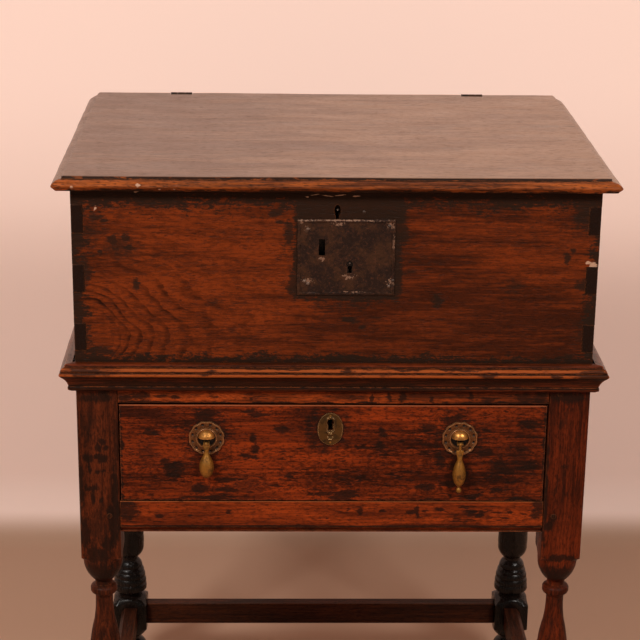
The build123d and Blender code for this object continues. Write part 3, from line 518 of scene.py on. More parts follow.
def apply_modifiers(piece):
    """Turns a piece's modifiers into its mesh."""
    bpy.context.view_layer.update()
    evaluated = piece.evaluated_get(bpy.context.evaluated_depsgraph_get())
    mesh = bpy.data.meshes.new_from_object(evaluated)
    piece.modifiers.clear()
    piece.data = mesh


def carve(piece, mesh):
    """Cuts a closed mesh out of a piece."""
    cutter = add("cutter", mesh)
    modifier = piece.modifiers.new("cut", "BOOLEAN")
    modifier.operation = "DIFFERENCE"
    modifier.solver = "EXACT"
    modifier.object = cutter
    apply_modifiers(piece)
    bpy.data.objects.remove(cutter)
    piece.data.shade_smooth()
    piece.data.set_sharp_from_angle(angle=CRISP)


def prism(outline, low, high):
    """A closed mesh: an outline in (x, z) carried from one y to another."""
    return mesh_from("prism", [(x, y, z) for y in (low, high) for x, z in outline], tube(2, len(outline)))


def key_outline(x, z, radius, width, drop):
    """A keyhole: a round eye over a slot."""
    side = asin(width / 2 / radius)
    eye = [(x + radius * sin(a), z - radius * cos(a)) for a in spaced(side, 2 * pi - side, 0.35)]
    return eye + [(x - width / 2, z - drop), (x + width / 2, z - drop)]


def rub_down(node, material, arris, cuts):
    """A piece in a solid's own shape with its arrises rubbed round, and further holes cut in it."""
    bm = bmesh.new()
    bm.from_mesh(frame["nodes"][node].data)
    bmesh.ops.remove_doubles(bm, verts=bm.verts, dist=0.02 * MM)
    bmesh.ops.dissolve_limit(bm, angle_limit=radians(1), verts=bm.verts, edges=bm.edges)
    name = node + ".worn"
    piece = new_piece(name, mesh_of(bm, name), BODIES[node], SLOTS[node], material, node)
    for cut in cuts:
        carve(piece, cut)
    bevel = piece.modifiers.new("arris", "BEVEL")
    bevel.width = arris * MM
    bevel.segments = 2
    bevel.limit_method = "ANGLE"
    bevel.angle_limit = radians(30)
    piece.modifiers.new("flat", "WEIGHTED_NORMAL").keep_sharp = True
    apply_modifiers(piece)


# ---- Lid ----
# Drop below the top face against distance in from the edge, above and below the thumb moulding.
LID_UPPER = (
    (0, 9.8), (0.3, 8.4), (1.2, 7.1), (2.6, 5.9), (4.4, 4.9), (6.4, 4.1), (8.4, 3.6),
    (10.4, 3.4), (11.2, 3.2), (11.5, 2.6), (11.7, 0.9), (12.1, 0.35), (12.9, 0.1), (14.5, 0),
)
LID_LOWER = ((0, 9.8), (0.4, 10.8), (1.4, 11.9), (2.8, 13.3), (4.0, 14.8), (4.8, 16.0))
LID_BORDER = LID_UPPER[-1][0]
LID_CORNER = 16.0
LEAF_SEAT_END = BOX_BACK - 3.2
# Nicks in the front edge as (x, depth, width), and scratches on top from one (x, y) to another.
LID_NICKS = (
    (-226.5, 1.4, 2.4), (-302.5, 1.2, 2), (-201, 0.8, 2), (-184, 0.7, 1.6), (61, 0.7, 2), (212, 0.9, 2.6),
)
LID_SCRATCHES = (
    ((-309, 62), (-235, 65)), ((-223, 26), (-207, 18)),
    ((-71, -149), (-54, -197)), ((-54, -197), (-36, -191)),
)


def scratch_depth(x, y):
    """How deep the scratches are here: short grooves across the lid's top."""
    depth = 0.0
    for (x0, y0), (x1, y1) in LID_SCRATCHES:
        length = hypot(x1 - x0, y1 - y0)
        along = ((x - x0) * (x1 - x0) + (y - y0) * (y1 - y0)) / length
        away = ((x - x0) * (y1 - y0) - (y - y0) * (x1 - x0)) / length
        if 0 < along < length:
            depth = max(depth, 0.35 * peak(away, 1.2))
    return depth


def lid_place(x, y, notches):
    """A grid point with the back corners rounded and the hinge notches cut in."""
    side, half, back = (1 if x > 0 else -1), LID_HIGH.x - LID_CORNER, LID_HIGH.y - LID_CORNER
    u, v = (abs(x) - half) / LID_CORNER, (y - back) / LID_CORNER
    if u > 0 and v > 0:
        u, v = u * sqrt(1 - v * v / 2), v * sqrt(1 - u * u / 2)
        return (half + LID_CORNER * u) * side, back + LID_CORNER * v
    if any(a < x < b for a, b in notches):
        return x, min(y, LEAF_SEAT_END)
    return x, y


def lid_mesh():
    """The lid as two sheets over one plan grid, thinner where the hinge leaves are let in."""
    half, front, back, top = LID_HIGH.x, LID_LOW.y, LID_HIGH.y, LID_HIGH.z
    leaves = [extent(side + "_lid_leaf") for side in ("left", "right")]
    link_low, link_high = extent("lid_link_plate")
    notches = [(low.x - 0.8, high.x + 0.8) for low, high in leaves]
    seats = [(low.x, high.x, low.y, LEAF_SEAT_END, 2.5) for low, high in leaves]  # x, x, y, y, depth
    seats.append((link_low.x, link_high.x, link_low.y, link_high.y, 2.0))

    reaches = [row[0] for row in LID_UPPER] + [0.8, 2.0, 3.6, 5.4]
    xs = {half - r for r in reaches} | {r - half for r in reaches}
    xs |= set(spaced(LID_BORDER - half, half - LID_BORDER, 5))
    ys = {front + r for r in reaches} | set(spaced(front + LID_BORDER, back - LID_CORNER, 7))
    ys |= {back - LID_CORNER * t for t in (0.8, 0.6, 0.4, 0.25, 0.12, 0.04, 0)}
    step = 0.02  # half the run of a seat's steep side
    for x in [x for pair in notches for x in pair] + [x for seat in seats for x in seat[:2]]:
        xs |= {x - step, x + step}
    for y in [y for seat in seats for y in seat[2:4]]:
        ys |= {y - step, y + step}
    xs, ys = sorted(xs), sorted(ys)

    upper, lower = [], []
    for y in ys:
        for x in xs:
            px, py = lid_place(x, y, notches)
            reach = min(half - abs(x), y - front)
            chip = sum(d * peak(x - cx, w) for cx, d, w in LID_NICKS) if y - front < 6 else 0.0
            edge = wobble(px, py, 0, 28, 0.3) + wobble(px, py, 0, 7, 0.12, 4)
            inward = max(0.0, 1 - reach / 9) * max(0.0, 0.35 + edge + chip)
            if half - abs(x) < y - front:
                px -= inward * (1 if x > 0 else -1)
            else:
                py += inward
            lift = 0.9 * max(0.0, x / half) * max(0.0, (BOX_BACK - y) / (BOX_BACK - front))
            drop = between(reach, LID_UPPER)
            skin = wobble(px, py, 0, 170, 0.25, 2) + wobble(px, py * 3, 0, 60, 0.12, 7)
            skin += min(drop / 3, 1.0) * wobble(px, py, 9, 12, 0.12, 3)
            cut = min(1.0, max(0.0, (reach - 11) / 6)) * scratch_depth(px, py)
            upper.append((px, py, top - drop + lift + skin - cut))
            depth = max([d for x0, x1, y0, y1, d in seats if x0 < x < x1 and y0 < y < y1] or [0.0])
            under = min(between(reach, LID_LOWER), top - LID_LOW.z)
            lower.append((px, py, top - under + lift + depth + (skin if reach < 0.01 else 0.0)))
    rows, columns, count = len(ys), len(xs), len(upper)
    faces = grid(rows, columns) + grid(rows, columns, count) + wall(border(rows, columns), count)
    return mesh_from("lid", upper + lower, faces)


# ---- Moulding round the top of the stand ----
def moulding_section(recess):
    """Closed outline as (reach, drop): a fillet, an ovolo, a bead, a cove and a fillet."""
    face = [(10.2, 0), (10.9, 0.3), (11.3, 0.9), (11.4, 2.6), (11.6, 3.2), (12.2, 3.4)]
    face += arc((12.2, 3.4), (16.0, 8.0), -1.1, 6) + [(15.9, 8.5), (15.7, 8.8), (16.0, 9.0), (16.4, 9.2)]
    face += arc((16.4, 9.2), (16.6, 13.8), -1.5, 7) + [(16.2, 14.4), (15.8, 15.0)]
    face += arc((15.8, 15.0), (7.6, 28.6), 1.25, 9) + [(7.7, 28.8), (8.3, 28.9), (8.5, 29.5), (8.5, 32.0)]
    return [(0, 5), (recess, 5), (recess, 0)] + face + [(8.2, 32.8), (4.5, 35.4), (0, 35.6)]


def moulding_place(side, s, reach, drop):
    """The point at a part s of the way along: side is -1 left, 0 front and 1 right."""
    start = STAND_FRONT - reach
    x = side * (HALF_STAND + reach) if side else s * (HALF_STAND + reach)
    return x, start + (MOULDING_BACK - start) * s * abs(side), STAND_HEIGHT - drop


def moulding_mesh(name, side, recess, stations, seed):
    """The section carried along stations."""
    section = moulding_section(recess)
    points = []
    for s in stations:
        for reach, drop in section:
            if reach > 9 and drop > 0.2:
                x, y, _ = moulding_place(side, s, reach, drop)
                reach += wobble(x, y, 0, 60, 0.25, seed) + wobble(x, y, drop * 3, 9, 0.10, seed)
                reach -= 0.8 * max(0.0, wobble(x, y, drop * 2, 16, 0.5, seed + 5) - 0.28)
            points.append(moulding_place(side, s, reach, drop))
    return mesh_from(name, points, tube(len(stations), len(section)))


# ---- Legs ----
# Radius, height and swell of each turned element, from the top down. SQUARE is past the block's corners.
SQUARE, NECK_TOP = 40.0, 384.0
TURNING = (
    (SQUARE, NECK_TOP, 0), (24.4, 377, 0), (11.2, 346, 3.8), (11, 340, -0.5), (13.6, 338.5, 0),
    (16.3, 333, 1.2), (13.6, 327.5, 1.2), (11.5, 326, 0), (10.8, 318, -0.4), (13.2, 290, -0.6),
    (19.8, 240, 1.5), (21.2, 222, 0.6), (21, 207, 0.4), (12.2, 188, 3), (12, 184, -0.3), (18.4, 173, 1.6),
    (17.4, 172, 0), (20.8, 166, 0.7), (19.8, 165, 0), (22.6, 157, 0.8), (21.4, 156, 0), (23.8, 148, 0.8),
    (22.6, 147, 0), (24.4, 140, 0.6), (24.4, 137, 0.4), (17, 131, -1.2), (17, 128, 0), (24.4, 123, 1.4),
    (SQUARE, 117, 0), (SQUARE, 78, 0), (24.4, 72, 0), (13, 60, 2.2), (13, 55, -0.6), (15.8, 53, 0.5),
    (22.8, 34, 3), (17.2, 10, 3.4), (17.2, 8, 0), (17.8, 6.5, 0.3), (17.6, 0.6, 0.2), (17, 0, 0),
)
LEG_ARRIS = 2.2
# Degrees from the middle of a face, closer together towards the arris.
FACE_ANGLES = (-43.8, -40, -34, -28, -21, -14, -7, 0, 7, 14, 21, 28, 34, 38, 41, 42.6, 43.8)


def leg_profile():
    """(radius, height) from the top down; the swells are arcs."""
    points = [(SQUARE, z) for z in spaced(LEG_HIGH.z, NECK_TOP, 9)]
    for (r0, z0, _), (r1, z1, swell) in zip(TURNING, TURNING[1:]):
        if swell:
            steps = max(1, round(abs(z1 - z0) / 1.9))
            points += arc((r0, z0), (r1, z1), swell, min(steps, 16))
        else:
            steps = max(1, round(abs(z1 - z0) / 8))
            points += [(r0 + (r1 - r0) * i / steps, z0 + (z1 - z0) * i / steps) for i in range(1, steps + 1)]
    return points


def leg_mesh(name, centre, seed):
    """Turned where the profile is inside the square, square with rubbed arrises elsewhere."""
    half = LEG / 2
    tip = (half - LEG_ARRIS) * sqrt(2) + LEG_ARRIS
    angles = [radians(90 * quarter + degrees) for quarter in range(4) for degrees in FACE_ANGLES]
    profile = leg_profile()
    points = []
    for radius, z in profile:
        for angle in angles:
            c, s = cos(angle), sin(angle)
            flat = half / max(abs(c), abs(s))
            off = abs((angle + pi / 4) % (pi / 2) - pi / 4)
            square = min(flat, tip / cos(pi / 4 - off)) if off > pi / 4 - 0.12 else flat
            r = min(radius, square)
            x, y = centre[0] + r * c, centre[1] + r * s
            r += wobble(x, y, z * 0.25, 30, 0.16, seed) + wobble(x, y, z, 6, 0.05, seed + 3)
            r -= exp(-abs(radius - square) / 0.8) * 0.35
            points.append((centre[0] + min(r, flat) * c, centre[1] + min(r, flat) * s, z))
    return mesh_from(name, points, tube(len(profile), len(angles)))


# ---- Lock plate ----
PLATE_SHEET = 1.4
PLATE_DENTS = (  # x, z, width and depth
    (5, 800, 22, 0.25), (38, 770, 16, 0.2), (-20, 745, 14, 0.175), (50, 740, 12, 0.2), (20, 792, 10, 0.15),
)
PLATE_RIM = ((0, 0.3), (1.1, 0.5), (2.0, 1.7), (2.9, 1.6), (3.5, 0.2), (6.0, 0))  # height against inset


def plate_lines(low, high):
    """Places of the plate's grid lines one way, close together over the rim."""
    rim = [0, 0.5, 1.1, 2.0, 2.9, 3.5, 4.2]
    return sorted({low + b for b in rim} | {high - b for b in rim} | set(spaced(low + 5, high - 5, 1.5)))


def plate_mesh():
    """Hammered sheet with a raised strip along its edges."""
    low, high = PLATE_LOW - Vector((2.5, 0, 0)), PLATE_HIGH + Vector((0, 0, 2))
    xs, zs = plate_lines(low.x, high.x), plate_lines(low.z, high.z)
    front, back = [], []
    for z in zs:
        for x in xs:
            inset = min(x - low.x, high.x - x, z - low.z, high.z - z)
            rim = between(inset, PLATE_RIM) * ((0.45 if x < -20 else 0.7) + wobble(x, 0, z, 14, 0.3, 6))
            skin = wobble(x, 0, z, 18, 0.16, 2) + wobble(x, 0, z, 5, 0.07, 3)
            skin -= sum(depth * peak(hypot(x - cx, z - cz), width) for cx, cz, width, depth in PLATE_DENTS)
            ragged = 0.5 * wobble(x, 0, z, 9, 0.5, 8) if inset < 0.01 else 0.0
            px = x - ragged * (1 if x > 0 else -1) if x in (xs[0], xs[-1]) else x
            pz = z - abs(ragged) * (1 if z > 770 else -1) if z in (zs[0], zs[-1]) else z
            front.append((px, BOX_FRONT - PLATE_SHEET - max(0.0, rim + skin) + 0.1, pz))
            back.append((px, BOX_FRONT, pz))
    rows, columns, count = len(zs), len(xs), len(front)
    ring = border(rows, columns)
    faces = grid(rows, columns) + [tuple(i + count for i in reversed(ring))] + wall(ring, count)
    return mesh_from("iron_plate", front + back, faces)


def knobs(name, places, radius, height, lobes=7):
    """Small forged nail heads on the front: (x, y, z) of the middle of each foot."""
    levels = ((1.0, 0), (0.98, 0.25), (0.8, 0.6), (0.5, 0.85), (0.2, 1.0))  # of radius and height
    sides = 14
    points, faces = [], []
    for n, (x, y, z) in enumerate(places):
        start = len(points)
        for level, (r, h) in enumerate(levels):
            for k, angle in enumerate(turns(sides)):
                size = radius * r * (1 + 0.08 * sin(lobes * angle + n) + wobble(k, n, level, 3, 0.06))
                points.append((x + size * cos(angle), y - height * h, z + size * sin(angle)))
        faces += [tuple(start + i for i in face) for face in tube(len(levels), sides)]
    return mesh_from(name, points, faces)


# ---- Finishes ----
# Marks are ellipses on the front: x, z, half width and half height in millimetres, and shade's amount.
BOX_MARKS = (
    (-232, 735, 4.5, 9), (-259, 789, 5.5, 5.5), (-243, 792, 5.5, 5.5), (-241, 782, 5, 4), (-255, 779, 5, 3),
    (-274, 775.5, 3.5, 2.5), (-278, 816, 9, 3.5), (-269, 811.3, 6, 2.5), (-285, 802.3, 5, 2.5),
    (-70, 824, 9, 4), (-65, 812.5, 5, 2.8), (-217, 834, 22, 6), (-192, 837, 26, 5.5), (-140, 842, 40, 4),
    (-100, 838, 12, 5), (-56, 799, 7, 17), (-50, 736, 6.5, 17), (17, 694, 12, 4), (32, 686, 6, 3),
    (12, 770, 60, 54), (32, 836, 56, 16), (74, 806, 10, 18), (70, 731, 8, 15), (120, 717, 6.5, 10),
    (267, 771, 3.5, 6), (274, 779, 3.5, 3), (292, 738, 12, 7), (295, 710, 4, 9), (290, 828, 19, 28),
    (272, 648, 13, 3.5), (245, 836, 10, 4.5), (-300, 795, 8, 20), (-300, 704, 10, 16), (-296, 673, 10, 16),
    (-276, 654, 16, 4), (-292, 753, 7.5, 22),
)
BOX_FAINT = (
    (207, 736, 13, 11), (-140, 714, 10, 4), (49, 696, 8, 3), (158, 834, 60, 7), (86, 755, 14, 3),
    (290, 676, 14, 22), (-250, 782, 24, 18), (-285, 800, 22, 26),
)
BOX_SHADE = (
    (-150, 745, 190, 120, 0.22), (240, 660, 150, 70, -0.4), (40, 680, 130, 60, -0.3),
    (177, 797, 40, 30, 0.12), (120, 740, 260, 160, -0.16),
)
DRAWER_MARKS = (
    (-152, 544, 28, 28), (152, 544, 29, 28), (-12, 553, 24, 23), (152, 505, 14, 16), (-190, 502, 13, 11),
    (-160, 479, 11, 7), (-130, 477, 17, 5), (-127, 489, 13, 4), (-94, 544, 4, 8), (-94, 528, 5, 9),
    (-100, 520, 9, 4), (-53, 494, 5.5, 4.5), (-61, 554, 12, 4), (-100, 577.5, 9, 2.5), (-88, 573, 12, 3),
    (-151, 466, 32, 4), (-9, 471, 20, 4), (18, 469, 20, 6), (-202, 514, 6, 3), (-219, 550, 9, 5),
    (-153, 574, 18, 6), (57, 551, 5, 8), (56, 533, 6, 6), (115, 557, 13, 8), (115, 479, 13, 4.5),
    (139, 486, 14, 4), (202, 506, 12, 15), (183, 525, 12, 4.5), (197, 476, 9, 4.5), (167, 468, 18, 3),
    (238, 509, 11, 11), (235, 561, 14, 6), (9, 464, 18, 4), (129, 515, 6, 9), (214, 499, 6, 3),
    (145, 569, 17, 6),
)
DRAWER_FAINT = (
    (-152, 540, 34, 34), (152, 540, 40, 36), (-4, 555, 28, 30), (-225, 524, 20, 20), (-166, 520, 16, 20),
    (225, 515, 36, 52), (154, 489, 13, 9), (-110, 482, 40, 12),
)
DRAWER_SHADE = ((-20, 510, 140, 90, 0.26), (220, 520, 110, 90, -0.4), (-235, 530, 60, 80, -0.2))
LEFT_LEG_MARKS = (
    (-280, 594, 22, 6), (-273, 599, 9, 6), (-276, 538, 4, 4.5), (-271, 529, 3, 3), (-282, 529, 3.5, 5),
    (-294, 516, 6, 7.5), (-284, 518, 6, 4), (-276, 516, 7.5, 5.5), (-292, 501, 3, 6), (-284, 498, 4, 3),
    (-275, 498, 3, 2.5), (-292, 478, 7.5, 3), (-285, 480, 3, 4), (-289.5, 468, 2.4, 12),
    (-279.1, 462, 2.4, 4), (-269, 446, 5, 7.5), (-262, 470, 4, 40), (-264, 426, 5, 24), (-301, 416, 8, 26),
    (-286, 388, 20, 14), (-273, 402, 9, 12), (-304, 480, 3.5, 60), (-285, 360, 30, 18),
)
RIGHT_LEG_MARKS = (
    (281, 596, 24, 7), (268, 599, 5, 4), (270, 439, 5.5, 5.5), (266, 430, 5, 7), (258, 470, 3.5, 70),
    (284, 384, 22, 5), (282, 360, 30, 12),
)
LEG_FAINT = (
    (280, 506, 9, 3), (270, 476, 4, 9), (274, 564, 9, 7), (-285, 425, 24, 34), (-290, 560, 14, 30),
)
TOP_RAIL_MARKS = (
    (-248, 594, 13, 8), (-230, 596, 12, 7), (-206, 597.9, 9, 2.5), (-189, 595.4, 6, 2.5),
    (-141, 595.6, 7.5, 1.9), (-100, 593.5, 3, 2.5), (44.2, 597, 1.8, 6), (65, 597, 3, 7), (81, 597, 4, 7),
    (117, 594, 3, 5), (162, 598, 3.5, 6), (186, 594, 12, 3), (228, 595, 18, 6), (245, 595, 9, 9),
    (-200, 588.5, 60, 1.6), (180, 588.6, 70, 2),
)
BOTTOM_RAIL_MARKS = (
    (-247, 447, 14, 10), (-252, 455, 9, 6), (-209, 441, 5.5, 4), (-184, 458.9, 3.5, 1.9), (-124, 446, 3, 3),
    (-172, 442.3, 3, 1.9), (34, 449, 5, 4), (61, 449, 4, 3), (103.6, 446, 2.4, 8), (98, 446.1, 6, 2.5),
    (131, 450, 7.5, 3), (168, 446, 9, 4.5), (180, 443, 6, 5), (216, 446.3, 4, 2.5), (247, 443, 9, 6),
    (252, 456, 9, 6),
)
MOULDING_MARKS = (
    (-149, 632.4, 10, 2.8), (15, 633, 7.5, 2.8), (178, 630, 10, 3), (260, 630, 6, 2.2), (305, 630, 22, 7),
    (-290, 632, 28, 6), (-60, 636.5, 60, 1.2), (120, 636.5, 70, 1.4),
)
# Pale spots at the front edge's nicks: bare chipped wood and painted glints.
LID_CHIPS_AND_GLINTS = (
    (-226.5, 856.5, 2.6, 2.6), (-302.5, 856.5, 2, 2.4), (-201, 855, 1.8, 1.4), (-184, 855, 1.6, 1.2),
)
# Pale spots on the box front's edges: bare chipped wood and painted glints.
BOX_CHIPS_AND_GLINTS = (
    (-227.4, 847.5, 3.2, 1.2), (-183, 847, 2.6, 1), (-276.8, 827, 1.6, 3.2), (-33.5, 841.5, 3, 1.4),
    (-24, 842.8, 7, 0.8), (-10, 841.8, 8, 0.7), (4, 843.2, 7, 0.8), (298.8, 759, 5.2, 8),
    (292, 764, 3.4, 3), (21.5, 841, 4.6, 1.2), (-303, 684, 1.4, 3),
)
# Pale spots on the plate: bare metal and painted glints along its rim.
PLATE_WEAR_AND_GLINTS = (
    (-17, 768, 3.2, 2.6), (15.6, 746.6, 6, 3.2), (62, 809, 4.6, 5), (4, 814.5, 60, 1), (-33, 741, 6.4, 3),
    (-34, 804, 3.4, 3), (64, 740, 4, 4.6), (22, 728.2, 12, 0.9), (66, 786, 1.2, 10), (2, 810, 6, 2.2),
    (-41, 812, 3, 2),
)

oak_box = oak(
    "oak_box_front", light=(124, 51, 18), dark=(68, 28, 12), stain_and_shade=(38, 26, 19), ring=(5, 0.95),
    figure=(-290, 671, 0.85, 110, 1.72), fleck=0.35, patches=0.2, dash=0.3, mottle=0.3, marks=BOX_MARKS,
    faint=BOX_FAINT, shade=BOX_SHADE, pale=BOX_CHIPS_AND_GLINTS,
    # The strip along the foot, above the moulding, is painted shadow.
    bands=(("Z", 856, 28), ("X", -314, 26), ("X", 314, 20), ("Z", 634, 15)),
    rims=((12.5, 771.5, 51, 43, 11.5), (16, 828, 56, 12, 9)),
)
BOX_END_BANDS = (("Y", BOX_FRONT, 9), ("Z", 856, 28))
oak_box_end = oak("oak_box_end", "Y", (72, 31, 15), (42, 19, 11), seed=3, patches=0.6, bands=BOX_END_BANDS)
oak_box_back = oak("oak_box_back", light=(98, 52, 28), dark=(56, 30, 17), seed=5, patches=0.6, rough=0.6)
oak_lid = oak(
    "oak_lid", light=(148, 110, 84), dark=(104, 70, 50), stain_and_shade=(52, 36, 26), worn=(150, 96, 60), seed=7,
    ring=(24, 0.1), fleck=0.12, dash=0.12, patches=0.3, rough=0.34, gloss=0.85, crevice=0.9, wear=0.2,
    # Painted sheen: the lid lighter towards the right and darker towards the left.
    shade=((-330, 866, 300, 90, -0.5), (330, 866, 330, 90, 0.4)),
)
oak_lid_edge = oak(
    "oak_lid_edge", light=(166, 84, 34), dark=(74, 34, 15), stain_and_shade=(34, 20, 13), worn=(176, 104, 60), seed=8,
    ring=(6, 0.1), fleck=0.6, dash=0.7, patches=0.3, gloss=0.15, crevice=0.8, wear=0.6, pale=LID_CHIPS_AND_GLINTS,
    # A dark line in the fillet, and painted shade along the lid's lower edge.
    bands=(("Y", LID_LOW.y + 11.5, 2.2), ("Z", LID_LOW.z - 2, 4.5)),
)
oak_moulding = oak(
    "oak_moulding", light=(104, 41, 15), dark=(50, 22, 10), worn=(172, 84, 34), seed=11, ring=(5, 0.3),
    fleck=0.5, dash=0.6, patches=0.5, marks=MOULDING_MARKS, crevice=1.0, gloss=0.1, wear=0.7,
    # Painted shade: dark lines in the quirks and a darker cove; the pale strips on the ovolo and bead are
    # partly rubbed wood, partly painted highlight.
    lines=[("Z", STAND_HEIGHT - drop, w) for drop, w in ((14.9, 1.2), (8.6, 1.1), (2.9, 0.9), (29, 2))],
    wear_and_highlight_bands=(("Z", STAND_HEIGHT - 5.6, 1.9), ("Z", STAND_HEIGHT - 11.8, 2.2)),
    shade=((0, STAND_HEIGHT - 22, 900, 8, -0.5),),
)
oak_side_moulding = oak(
    "oak_side_moulding", "Y", (104, 52, 28), (56, 28, 16), worn=(150, 92, 56), seed=12, ring=(5, 0.3),
    patches=0.4, gloss=0.6, rough=0.36, crevice=1.0, wear=0.4,
)
oak_top_rail = oak(
    "oak_top_rail", light=(166, 70, 25), dark=(76, 32, 14), seed=13, marks=TOP_RAIL_MARKS, fleck=0.6,
    shade=((200, 600, 160, 60, -0.4), (-180, 600, 100, 40, 0.2)), crevice=0.9, mottle=0.3,
    bands=(("Z", extent("top_front_rail")[0].z + 0.3, 1.5),),
)
oak_bottom_rail = oak(
    "oak_bottom_rail", light=(154, 60, 20), dark=(90, 33, 12), seed=17, marks=BOTTOM_RAIL_MARKS, fleck=0.8,
    # Painted shade: the dark line and the darker strip along the bead's undercut; the pale top arris is
    # partly rubbed wood, partly painted highlight.
    patches=0.25, crevice=1.0, wear=0.7, mottle=0.4, lines=(("Z", 427, 2),), shade=((0, 422, 900, 5, -0.6),),
    wear_and_highlight_bands=(("Z", extent("bottom_front_rail")[1].z, 0.8),),
)
oak_drawer = oak(
    "oak_drawer_front", light=(142, 53, 17), dark=(56, 21, 10), worn=(168, 92, 56), seed=19,
    marks=DRAWER_MARKS, faint=DRAWER_FAINT, shade=DRAWER_SHADE, fleck=0.85, dash=0.5, patches=0.35,
    mottle=0.6, crevice=0.6, ring=(4.2, 0.2), bands=(("X", -257, 5), ("X", 257, 5), ("Z", 459, 4)),
    # A pale line along the top arris: partly rubbed wood, partly painted highlight.
    wear=0.95, wear_and_highlight_bands=(("Z", extent("drawer_front")[1].z - 0.3, 0.8),),
)
oak_left_leg = oak(
    "oak_left_leg", "Z", (98, 42, 20), (46, 20, 11), seed=23, marks=LEFT_LEG_MARKS, faint=LEG_FAINT,
    patches=0.5, mottle=0.35, shade=((-285, 410, 60, 60, 0.4),),
)
oak_right_leg = oak(
    "oak_right_leg", "Z", (106, 39, 15), (58, 21, 10), seed=29, marks=RIGHT_LEG_MARKS, faint=LEG_FAINT,
    patches=0.3, mottle=0.25, shade=((285, 410, 60, 60, 0.8),),
)
# Painted shade: the back legs take a near-black copy of the legs' oak.
shaded_oak_back_leg = oak(
    "shaded_oak_back_leg", "Z", (22, 12, 9), (11, 8, 6), worn=(56, 32, 22), seed=31, rough=0.22, gloss=0.25,
)
oak_apron = oak("oak_apron", "Y", (84, 37, 18), (46, 21, 12), seed=37, patches=0.6)
STRETCHER = {"light": (78, 38, 21), "dark": (42, 21, 13), "patches": 0.6, "wear": 0.6}
oak_stretcher = oak("oak_stretcher", seed=41, **STRETCHER)
oak_side_stretcher = oak("oak_side_stretcher", "Y", seed=43, **STRETCHER)
BARE = {"light": (156, 112, 74), "dark": (112, 78, 52), "stain_and_shade": (60, 42, 30), "patches": 0.3, "rough": 0.7}
oak_bare = oak("oak_bare", seed=47, **BARE)
oak_bare_side = oak("oak_bare_side", "Y", seed=53, **BARE)
oak_peg = oak("oak_peg", "Z", (70, 36, 20), (38, 20, 13), seed=59, patches=0.5)

old_iron = iron("old_iron")
plate_iron = iron("plate_iron", (64, 38, 22), (38, 22, 16), (86, 46, 24), (146, 112, 92), 0.3, PLATE_WEAR_AND_GLINTS)
bright_iron = iron("bright_iron", light=(120, 96, 82), dark=(60, 44, 36), worn=(226, 200, 182))
# Near-black iron, used also as painted shade in the rosettes' hollow and pierced eyes.
soot_and_shade = iron("soot_and_shade", light=(22, 14, 10), dark=(12, 8, 6), rust=(28, 16, 10), worn=(60, 42, 28))
# Brass: light, dark, roughness, metallic, brightness of the edges.
old_brass = brass("old_brass", (158, 106, 40), (52, 33, 15), 0.42, 0.65, 0.4)
gold_brass = brass("gold_brass", (214, 148, 76), (70, 41, 20), 0.36, 0.85, 0.6)
rose_brass = brass("rose_brass", (150, 98, 60), (54, 31, 19), 0.32, 0.75, 0.7)
dark_brass = brass("dark_brass", (112, 70, 38), (34, 20, 12), 0.36, 0.7, 0.7)
dull_brass = brass("dull_brass", (94, 66, 32), (36, 24, 13), 0.34, 0.75, 1.0)

# ---- Pieces in the solids' own shape ----
HASP_HOLE = [(-20.6, 772.0), (-13.0, 772.0), (-13.2, 791.6), (-20.2, 791.8)]
PLATE_KEYHOLE = key_outline(15.6, 761.5, 4.1, 5.6, 10.5)
BOX_KEYHOLE = [(0.6 + 3.8 * cos(a), 825.2 + 7.4 * sin(a)) for a in spaced(0.2, 2 * pi, 0.3)]
DRAWER_KEYHOLE = key_outline(SHIELD_X, SHIELD_Z + 9, 4.4, 6.2, 10.5)
CUTS = {
    "box_front_board": [
        prism(outline, BOX_FRONT - 3, BOX_FRONT + 7) for outline in (HASP_HOLE, PLATE_KEYHOLE, BOX_KEYHOLE)
    ],
    "drawer_front": [prism(DRAWER_KEYHOLE, DRAWER_FRONT - 3, DRAWER_FRONT + 7)],
}
# Material, how far the arrises are rubbed back, and the nodes that share them.
RUBBED_SOLIDS = (
    (oak_box, 0.8, "box_front_board"),
    (oak_box_back, 0.8, "box_back_board"),
    (oak_box_end, 0.8, "box_left_side box_right_side"),
    (oak_bare, 0.8, "box_bottom_board"),
    (oak_box_back, 0.8, "back_batten"),
    (oak_top_rail, 0.8, "top_front_rail"),
    (oak_bottom_rail, 0.8, "bottom_front_rail"),
    (oak_drawer, 0.8, "drawer_front"),
    (oak_apron, 0.8, "left_apron right_apron"),
    (oak_box_back, 0.8, "back_apron"),
    (oak_stretcher, 0.8, "front_stretcher back_stretcher"),
    (oak_side_stretcher, 0.8, "left_stretcher right_stretcher"),
    (oak_peg, 0.4, "joint_pegs"),
    (oak_bare_side, 0.8, "drawer_left_side drawer_right_side left_runner right_runner"),
    (oak_bare, 0.8, "drawer_back_board drawer_bottom_board drawer_stops"),
    (old_iron, 0.5, "left_box_leaf right_box_leaf left_lid_leaf right_lid_leaf"),
)
for material, arris, nodes in RUBBED_SOLIDS:
    for node in nodes.split():
        rub_down(node, material, arris, CUTS.get(node, ()))

# ---- Pieces with a shape of their own ----
lid_board = new_piece("lid_board", lid_mesh(), "lid", "oak_lid", oak_lid, "lid")
lid_board.data.materials.append(oak_lid_edge)
for face in lid_board.data.polygons:
    spot = face.center / MM
    reach = spot.y - LID_LOW.y
    if reach < 12 and reach < LID_HIGH.x - abs(spot.x) and spot.z > LID_LOW.z - 3:
        face.material_index = 1
